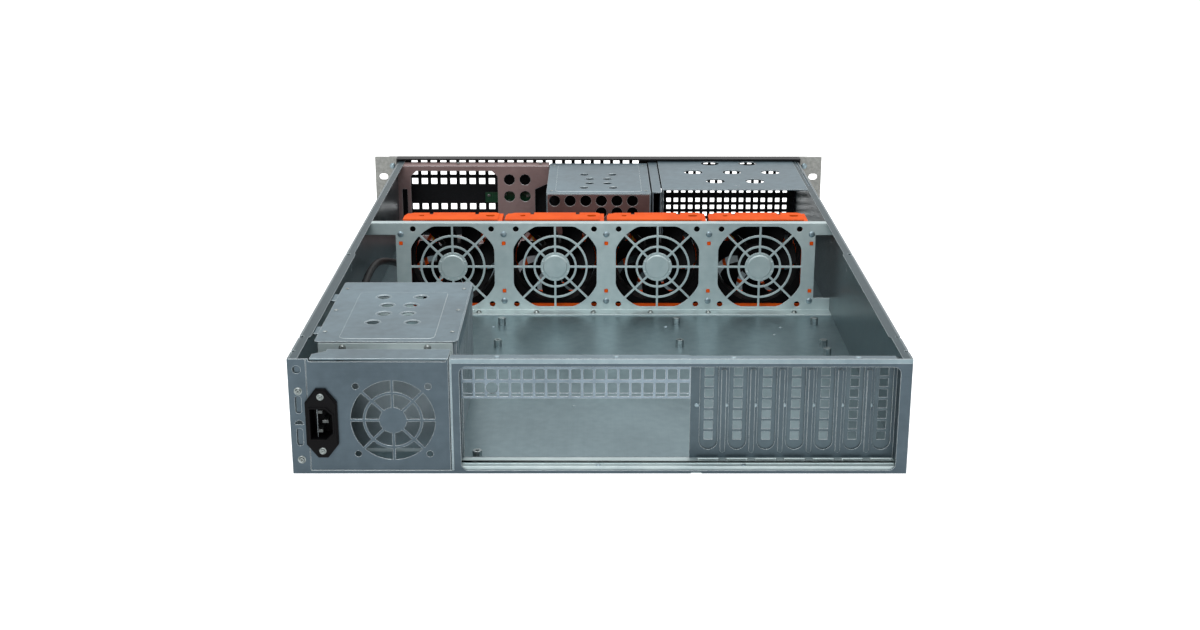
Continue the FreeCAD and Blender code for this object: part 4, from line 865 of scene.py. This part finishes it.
def makeFrontPanel():
    half, high, thick = frontPanel["half"], frontPanel["height"], frontPanel["thick"]
    wide = half + frontPanel["flange"]
    loops = [rect(-wide, 0, wide, high)]
    first, pitch, side = frontPanel["coarse"]
    for z, count in frontPanel["coarseRows"]:
        loops += [slotAt(first + pitch * k, z, side, side, 0.5)
                  for k in range(count)]
    first, pitch, side = frontPanel["fine"]
    loops += [slotAt(first + pitch * k, z, side, side, 0.5)
              for z in frontPanel["fineRows"] for k in range(0 if z < 60 else 2, frontPanel["fineCount"])]
    middle, z = frontPanel["controlX"], frontPanel["controlZ"]
    loops += [ring(x, z, frontPanel["button"]) for x in frontPanel["buttons"]]
    u, v = frontPanel["lamp"]
    loops += [slotAt(x, z, u, v) for x in frontPanel["lamps"]]
    u, v = frontPanel["port"]
    loops += [slotAt(middle, level, u, v) for level in (z - 6, z + 6)]
    parts = [sheet(loops, thick, "behind", y=frontPanel["back"])]
    near, far = frontPanel["back"] - frontPanel["return"], frontPanel["back"]
    parts.append(block((-half, near, high - thick), (half, far, high)))
    for side in (-1, 1):
        a, b = sorted((side * half, side * (half - thick)))
        parts.append(block((a, near, 0), (b, far, high - thick)))
    dress("frontPanelSheet", parts, "black", "front_panel")


makeFrontPanel()


def makeBayTop():
    bay = cages["bayTop"]
    left, near, right, far = bay["box"]
    first, middle, pitch = bay["first"], bay["middle"], bay["pitch"]
    loops = [rect(left, near, right, far)]
    loops += [ring(first + x * pitch, middle + y * pitch, bay["radius"], 40) for x, y in (
        (0, 0), (1, 0), (2, 0), (0.5, 1.06), (1.5, 1.06), (0.5, -1.05), (1.5, -1.05))]
    loops += [rect(136, 654.5, 142, 656.3, 0.8), rect(136, 530.5, 142, 532.0, 0.6)]
    parts = [sheet(loops, sheetThick, "up", z=84)]
    parts.append(block((left, near, sheetThick), (left + sheetThick, near + 20, 84)))
    parts.append(block((right - 4, near + 10, 82.8), (213.8, far - 10, 84)))
    dress("bayTopSheet", parts, "rolled", "right_bay_top")


makeBayTop()

fan = {
    "frameY": 394.35,
    "deep": 25.0,
    "bore": 38.6,
    "half": 40.0,
    "corner": 4.0,
    "hub": 17.0,
    "hubDeep": 19.0,
    "tip": 36.8,
    "blades": 7,
    "bladeThick": 1.3,
    "width": 42.0,  # degrees that a blade covers at its root
    "rootPitch": 15.0,  # mm that a blade rises across its width, at the root and at the tip
    "tipPitch": 9.5,
    "sweep": 16.0,  # degrees that the tip leans forward
    "camber": 2.2,
    "webY": 420.0,  # the holder's bar and ring behind the fan: half the bar, and the ring's two radii
    "web": (36.0, 31.5, 28.5),
}


def bladeMesh():
    vertices, faces = [], []
    rows, columns = 9, 11
    for i in range(rows):
        t = i / (rows - 1)
        radius = fan["hub"] - 1.0 + (fan["tip"] - fan["hub"] + 1.0) * t
        rise = fan["rootPitch"] + (fan["tipPitch"] - fan["rootPitch"]) * t
        for j in range(columns):
            s = j / (columns - 1) - 0.5
            turn = math.radians(fan["sweep"] * t * t + fan["width"] * (1 - 0.08 * t) * s)
            camber = fan["camber"] * (0.25 - s * s)
            vertices.append((radius * math.cos(turn) * mm, (s * rise - camber) * mm,
                             radius * math.sin(turn) * mm))
    for i in range(rows - 1):
        for j in range(columns - 1):
            k = i * columns + j
            faces.append((k, k + 1, k + columns + 1, k + columns))
    mesh = bpy.data.meshes.new("blade")
    mesh.from_pydata(vertices, [], faces)
    item = linked("blade", mesh)
    skin = item.modifiers.new("skin", "SOLIDIFY")
    skin.thickness = fan["bladeThick"] * mm
    skin.offset = 0
    return evaluated(item)


def ringTree():  # copies of one shape, turned about the fan's axle
    tree, given = newTree("bladeRing", {"Count": "Int", "Material": "Material"})
    one = addNode(tree, "GeometryNodeGeometryToInstance", {0: given["Geometry"]})
    spots = addNode(tree, "GeometryNodePoints", {"Count": given["Count"], "Radius": 0.001})
    index = addNode(tree, "GeometryNodeInputIndex")
    step = addNode(tree, "ShaderNodeMath", {0: 2 * math.pi, 1: given["Count"]}, operation="DIVIDE")
    turn = addNode(tree, "ShaderNodeMath", {0: index, 1: step}, operation="MULTIPLY")
    spin = addNode(tree, "ShaderNodeCombineXYZ", {"Y": turn})
    copies = addNode(tree, "GeometryNodeInstanceOnPoints", {"Points": spots,
                                                            "Instance": one,
                                                            "Rotation": spin})
    real = addNode(tree, "GeometryNodeRealizeInstances", {0: copies})
    painted = addNode(tree, "GeometryNodeSetMaterial", {0: real, "Material": given["Material"]})
    addNode(tree, "NodeGroupOutput", {0: painted})
    return tree


fanWires = {
    "radius": 0.9,
    "far": 20.6,  # how deep behind the frame's face the wires run, beside the rear struts
    "looks": ("yellowWire", "redWire", "rotorBlack"),
    "route": ((-9.0, -3.0), (-17.5, 6.0), (-19.5, 14.0), (-21.0, 26.0), (-23.5, 36.5)),
}


def makeFans():
    blades = grown(bladeMesh(), ringTree(), {"Count": fan["blades"], "Material": finish["rotorBlack"]})
    z = fanWall["fanHeight"]
    start = fan["deep"] - 3 - 0.6 - fan["hubDeep"]
    for k, x in enumerate(fanPlaces, 1):
        y = fan["frameY"] + start
        around = blades.copy()
        around.transform(Matrix.Translation(at(x, y + fan["hubDeep"] / 2, z)))
        hub = lathe([(0, 0.4), (13.6, 0.4), (15.6, 1.0), (16.7, 2.4), (17.0, 4.5), (17.0, fan["hubDeep"]),
                     (15.6, fan["hubDeep"]), (15.6, 4.0), (14.0, 2.4), (1.75, 2.4), (1.75, 17.0), (1.56, 17.0),
                     (1.56, 2.0), (0, 2.0)], x, y, z)
        dress(f"fanRotor_{k}", [around, hub], "rotorBlack", f"fan_rotor_{k}", f"rotor_{k}", 40)

        half, bore = fan["half"], fan["bore"]
        near = fan["frameY"]
        square = slotAt(x, z, half, half, fan["corner"], 6)
        parts = []
        for offset, thick in ((0, 4), (fan["deep"] - 4, 4)):
            screws = fourHoles(x, z, fanWall["screwReach"], 2.2, 12)
            parts.append(sheet([square, ring(x, z, bore, 72)] + screws, thick, "behind", y=near + offset))
        duct = [ring(x, z, half - 0.1, 72), ring(x, z, bore, 72)]
        parts.append(sheet(duct, fan["deep"] - 8, "behind", y=near + 4))
        back = near + fan["deep"] - 3
        parts.append(lathe([(0, 0), (15.2, 0), (16, 0.8), (16, 3), (0, 3)], x, back, z))
        for turn in (45, 135, 225, 315):
            strut = sheet([rect(14, -2, bore + 0.6, 2, 0.8)], 3, "behind")
            strut.transform(Matrix.Translation(at(x, back, z)) @ Matrix.Rotation(math.radians(turn), 4, "Y")
                            @ Matrix.Translation(-at(0, 0, 0)))
            parts.append(strut)
        parts.append(lathe([(0, 0), (1.5, 0), (1.5, -15), (1.2, -15.4), (0, -15.4)], x, back, z, 20))
        dress(f"fanFrame_{k}", parts, "fanBlack", f"fan_frame_{k}", "case", 40)

        # the holder's own web behind the fan shows between the blades
        reach, outer, inner = fan["web"]
        loops = [rect(x - reach, z + 3, x + reach, z + 7)], [ring(x, z, outer, 48), ring(x, z, inner, 48)]
        bars = [sheet(part, 2.4, "behind", y=fan["webY"]) for part in loops]
        dress(f"holderWeb_{k}", bars, "orange")

        for i, look in enumerate(fanWires["looks"]):
            shift = (i - 1) * 2 * fanWires["radius"]
            depth = near + fanWires["far"] + 2.6
            wire = cordCurve("wire", [(x + a + shift, depth, z + b) for a, b in fanWires["route"]],
                             fanWires["radius"], 3, 6)
            addPiece(f"fanWire_{k}_{look}", evaluated(wire), look, "case")


makeFans()

holder = {
    "half": 45.0,
    "topHalf": 43.8,
    "shift": -2.6,  # the lugs on top lean to the left of the fan
    "low": 1.2,
    "rim": 83.7,
    "high": 85.0,
    "near": 391.85,
    "far": 418.6,
    "webY": 419.65,
    "web": 4.2,
    "webTop": 79.5,
    "mouth": 36.0,
    "mouthBevel": 14.0,
}


def makeHolders():
    half, low, rim, high = holder["half"], holder["low"], holder["rim"], holder["high"]
    near, far, side, bevel = holder["near"], holder["far"], holder["mouth"], holder["mouthBevel"]
    z = fanWall["fanHeight"]
    for k, x in enumerate(fanPlaces, 1):
        inner = fan["half"]
        outline = [(x - half, low), (x + half, low), (x + half, rim), (x + inner, rim), (x + inner, z - inner),
                   (x - inner, z - inner), (x - inner, rim), (x - half, rim)]
        parts = [sheet([outline], holder["webY"] - near, "behind", y=near)]
        left, right = x - holder["topHalf"] + holder["shift"], x + holder["topHalf"] + holder["shift"]
        # the top with its two grip lugs, and a notch in the far edge beside each
        outline = [(left, near), (right, near), (right, far - 3), (right - 3, far), (right - 19, far),
                   (right - 19, far - 7), (right - 22.5, far - 7), (right - 22.5, far), (left + 26, far),
                   (left + 26, far - 7), (left + 22.5, far - 7), (left + 22.5, far - 1), (left + 8, far - 1),
                   (left + 1.5, far - 7), (left, far - 12)]
        grip = [rect(right - 12, far - 15, right - 3.5, far - 9, 2.5), ring(left + 16, far - 12, 2.6, 12)]
        parts.append(sheet([outline] + grip, high - rim, "up", z=rim))
        mouth = [(x - side, z - side + bevel), (x - side + bevel, z - side), (x + side - bevel, z - side),
                 (x + side, z - side + bevel), (x + side, z + side - bevel), (x + side - bevel, z + side - 1),
                 (x - side + bevel, z + side - 1), (x - side, z + side - bevel)]
        parts.append(sheet([rect(x - half, low, x + half, holder["webTop"] + 1.5), mouth], holder["web"], "behind",
                           y=holder["webY"]))
        dress(f"fanHolder_{k}", parts, "orange", f"fan_holder_{k}")


makeHolders()
print("cage tops, fans and rotors made")

inlet = {
    "x": -192.8,
    "z": 38.3,
    "half": 11.1,
    "rise": 25.3,
    "nose": 3.4,
    "shoulder": 15.5,
    "proud": 3.0,
    "socket": (7.8, 11.2, 4.6),
    "deep": 17.0,
}


def makeInlet():
    x, z, half, rise = inlet["x"], inlet["z"], inlet["half"], inlet["rise"]
    nose, shoulder = inlet["nose"], inlet["shoulder"]
    flange = [(-half, -shoulder), (-nose, -rise), (nose, -rise), (half, -shoulder),
              (half, shoulder), (nose, rise), (-nose, rise), (-half, shoulder)]
    inset, depth, bevel = inlet["socket"]
    mouth = [(-inset, -depth), (inset - bevel, -depth), (inset, -depth + bevel),
             (inset, depth - bevel), (inset - bevel, depth), (-inset, depth)]

    def shaped(points, grow=0.0):
        return [(x + u * (1 + grow / half), z + v * (1 + grow / rise)) for u, v in points]

    parts = [sheet([shaped(flange), shaped(mouth)], 2.0, "behind", y=-2.0),
             sheet([shaped(flange, -1.0), shaped(mouth)], 1.0, "behind", y=-3.0)]
    shell = slotAt(x, z, 9.5, 13.2, 1.0)
    parts.append(sheet([shell, shaped(mouth)], inlet["deep"] - 3, "behind", y=0))
    parts.append(sheet([shell], 3, "behind", y=inlet["deep"] - 3))
    # a raised rib frames the socket, as on the real moulding
    rib = [(u * 1.12, v * 1.08) for u, v in mouth]
    parts.append(sheet([shaped(rib), shaped(mouth)], 0.9, "behind", y=-3.9))
    dress("inletBody", parts, "inletBlack", "power_inlet", angle=20)


makeInlet()

fasteners = {
    "screws": {  # bright pan-head screws: radius and height, then places with the way they face
        "small": (2.1, 1.3, [(-182.7, 38.0, 80.2, 0, -1, 0), (-122.2, 38.0, 80.2, 0, -1, 0)]),
        "strip": (2.3, 1.5, [(-208.3, 0.0, 61.5, 0, -1, 0), (-208.3, 0.0, 10.6, 0, -1, 0)]),
        "inlet": (2.0, 1.3, [(-192.8, -3.0, 58.3, 0, -1, 0), (-192.8, -3.0, 18.3, 0, -1, 0)]),
        "foot": (2.3, 1.5, [(x, 369.5, 2.4, 0, 0, 1) for x in (-110.6, -57.5, -5.2, 47.6, 101.0, 180.5)]),
        "cageTop": (1.3, 0.6, [(x, y, 85.0, 0, 0, 1) for x in (-198.2, -106.5) for y in (60.0, 112.0, 168.0)]),
        "driveTop": (1.4, 0.6, [(x, y, 84.0, 0, 0, 1) for x in (-47.0, 47.0) for y in (512.0, 630.0)]),
        "bracketTop": (1.4, 0.6, [(x, 638.0, 85.2, 0, 0, 1) for x in (-150.0, -62.0)]),
    },
    "rivets": {  # domed or flush heads: radius and height
        "wall": (2.9, 1.0, [(x, fanWall["y"], z, 0, -1, 0) for x in pinPlaces for z in (74.6, 11.0)]),
        "ear": (3.2, 1.2, [(side * 222.5, 656.5, 78.0, 0, -1, 0) for side in (-1, 1)]),
        "slot": (1.7, 0.8, [(ioWall["slotFirst"] + ioWall["slotPitch"] * k - 8.4, ioWall["face"], 46.5, 0, -1, 0)
                            for k in range(7)]),
        "ledge": (1.8, 0.7, [(-1.2, 3.6, 5.0, 0, 0, 1), (101.0, 3.6, 5.0, 0, 0, 1)]),
        "return": (2.2, 0.6, [(-71.0, 5.5, 85.0, 0, 0, 1), (11.0, 5.5, 85.0, 0, 0, 1),
                              (92.0, 3.8, 85.0, 0, 0, 1), (178.0, 3.8, 85.0, 0, 0, 1)]),
        "floor": (1.9, 0.7, [(-180.0, 250.0, 1.2, 0, 0, 1), (196.0, 60.0, 1.2, 0, 0, 1),
                             (60.0, 330.0, 1.2, 0, 0, 1), (-95.0, 330.0, 1.2, 0, 0, 1)]),
    },
    "seed": 7,
}


def scatterTree(name, shape):  # one head on each point, facing along the point's own vector
    tree, given = newTree(name, {"Radius": "Float", "Height": "Float", "Seed": "Int", "Material": "Material"})
    head = shape(tree, given)
    facing = addNode(tree, "GeometryNodeInputNamedAttribute", {"Name": "facing"}, data_type="FLOAT_VECTOR")
    aimed = addNode(tree, "FunctionNodeAlignRotationToVector", {"Vector": facing}, axis="Z")
    turn = addNode(tree, "FunctionNodeRandomValue", {2: 0.0, 3: math.pi, "Seed": given["Seed"]})
    spin = addNode(tree, "FunctionNodeAxisAngleToRotation", {"Angle": turn.outputs[1]})
    laid = addNode(tree, "FunctionNodeRotateRotation", {0: aimed, 1: spin},
                   rotation_space="LOCAL")
    copies = addNode(tree, "GeometryNodeInstanceOnPoints", {"Points": given["Geometry"], "Instance": head,
                                                            "Rotation": laid})
    real = addNode(tree, "GeometryNodeRealizeInstances", {0: copies})
    painted = addNode(tree, "GeometryNodeSetMaterial", {0: real, "Material": given["Material"]})
    addNode(tree, "NodeGroupOutput", {0: painted})
    return tree


def panHead(tree, given):  # a cropped cone on a washer, cut by a cross
    shares = (0.66, 1.05, 0.24, 1.22)  # the top, the cross's arm, its half width and the washer, by radius
    small, arm, thin, washer = [addNode(tree, "ShaderNodeMath", {0: given["Radius"], 1: share},
                                        operation="MULTIPLY") for share in shares]
    cone = addNode(tree, "GeometryNodeMeshCone", {"Vertices": 24, "Radius Top": small,
                                                  "Radius Bottom": given["Radius"], "Depth": given["Height"]})
    size = addNode(tree, "ShaderNodeCombineXYZ", {"X": arm, "Y": thin,
                                                  "Z": given["Height"]})
    slot = addNode(tree, "GeometryNodeMeshCube", {"Size": size})
    lift = addNode(tree, "ShaderNodeCombineXYZ", {"Z": given["Height"]})
    cuts = [addNode(tree, "GeometryNodeTransform", {0: slot, "Translation": lift,
                                                    "Rotation": (0, 0, turn)}) for turn in (0, math.pi / 2)]
    cross = addNode(tree, "GeometryNodeMeshBoolean", {0: cone, 1: cuts}, operation="DIFFERENCE")
    flat = addNode(tree, "GeometryNodeMeshCylinder", {"Vertices": 24, "Radius": washer,
                                                      "Depth": 0.0006})
    return addNode(tree, "GeometryNodeJoinGeometry", {0: [cross, flat]})


def domeHead(tree, given):  # a flattened ball, half of it above the sheet
    ball = addNode(tree, "GeometryNodeMeshUVSphere", {"Segments": 20, "Rings": 12, "Radius": 1.0})
    size = addNode(tree, "ShaderNodeCombineXYZ", {"X": given["Radius"], "Y": given["Radius"],
                                                  "Z": given["Height"]})
    return addNode(tree, "GeometryNodeTransform", {0: ball, "Scale": size})


def makeFasteners():
    for kind, shape, look in (("screws", panHead, "screw"), ("rivets", domeHead, "rivet")):
        tree = scatterTree(kind + "Heads", shape)
        heads = []
        for radius, height, places in fasteners[kind].values():
            points = bpy.data.meshes.new("spots")
            points.from_pydata([at(*place[:3]) for place in places], [], [])
            facing = points.attributes.new("facing", "FLOAT_VECTOR", "POINT")
            for value, place in zip(facing.data, places):
                value.vector = place[3:]
            heads.append(grown(points, tree, {"Radius": radius * mm, "Height": height * mm,
                                              "Seed": fasteners["seed"], "Material": finish[look]}))
        dress(kind + "Case", heads, look, angle=30)


makeFasteners()
print("inlet and fasteners made")

powerLead.data.materials.clear()
powerLead.data.materials.append(finish["sheath"])
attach(powerLead, "case")
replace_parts(powerLead, "power_lead")

studio = {
    "floorSize": 14.0,
    "floorColour": "#f2f2f1",
    "worldLight": 0.42,
    "lamps": {
        "top": {"place": (0.15, 0.25, 2.4), "size": 2.2, "power": 40, "aim": (0, 0.1, 0)},
        "key": {"place": (-0.5, -2.1, 1.5), "size": 1.4, "power": 30, "aim": (0, 0, 0)},
        "fill": {"place": (1.9, -0.9, 1.4), "size": 2.0, "power": 4, "aim": (0, 0, 0)},
    },
}


def whiteToCamera(tree):  # 1 where the ray comes from the camera, a reflection or through glass
    path = addNode(tree, "ShaderNodeLightPath")
    first = addNode(tree, "ShaderNodeMath", {0: path.outputs["Is Camera Ray"],
                                             1: path.outputs["Is Glossy Ray"]}, operation="MAXIMUM")
    return addNode(tree, "ShaderNodeMath", {0: first, 1: path.outputs["Is Transmission Ray"]},
                   operation="MAXIMUM").outputs[0]


def makeStudio():
    world = bpy.data.worlds.new("studioWorld")
    world.use_nodes = True
    tree = world.node_tree
    tree.nodes.clear()
    lit = addNode(tree, "ShaderNodeBackground", {"Color": (0.96, 0.98, 1, 1),
                                                 "Strength": studio["worldLight"]})
    white = addNode(tree, "ShaderNodeBackground", {"Color": (1, 1, 1, 1), "Strength": 1.0})
    choice = addNode(tree, "ShaderNodeMixShader", {0: whiteToCamera(tree), 1: lit,
                                                   2: white})
    addNode(tree, "ShaderNodeOutputWorld", {"Surface": choice})
    scene.world = world

    size = studio["floorSize"] / 2
    mesh = bpy.data.meshes.new("floor")
    mesh.from_pydata([(-size, -size, 0), (size, -size, 0), (size, size, 0), (-size, size, 0)], [],
                     [(0, 1, 2, 3)])
    floor = linked("floor", mesh)
    material = bpy.data.materials.new("paleFloor")
    material.use_nodes = True
    tree = material.node_tree
    shader = tree.nodes["Principled BSDF"]
    feed(tree, shader, {"Base Color": linear(studio["floorColour"]), "Roughness": 0.9})
    glow = addNode(tree, "ShaderNodeEmission", {"Color": (1, 1, 1, 1), "Strength": 0.72})
    both = addNode(tree, "ShaderNodeAddShader", {0: shader, 1: glow})
    choice = addNode(tree, "ShaderNodeMixShader", {0: whiteToCamera(tree), 1: shader,
                                                   2: both})
    feed(tree, tree.nodes["Material Output"], {"Surface": choice})
    mesh.materials.append(material)

    for name, lamp in studio["lamps"].items():
        data = bpy.data.lights.new(name, "AREA")
        data.size = lamp["size"]
        data.energy = lamp["power"]
        item = linked(name, data)
        item.location = lamp["place"]
        item.rotation_euler = (Vector(lamp["aim"]) - Vector(lamp["place"])).to_track_quat("-Z", "Y").to_euler()
    scene.view_settings.view_transform = "Standard"


makeStudio()
print("studio made")
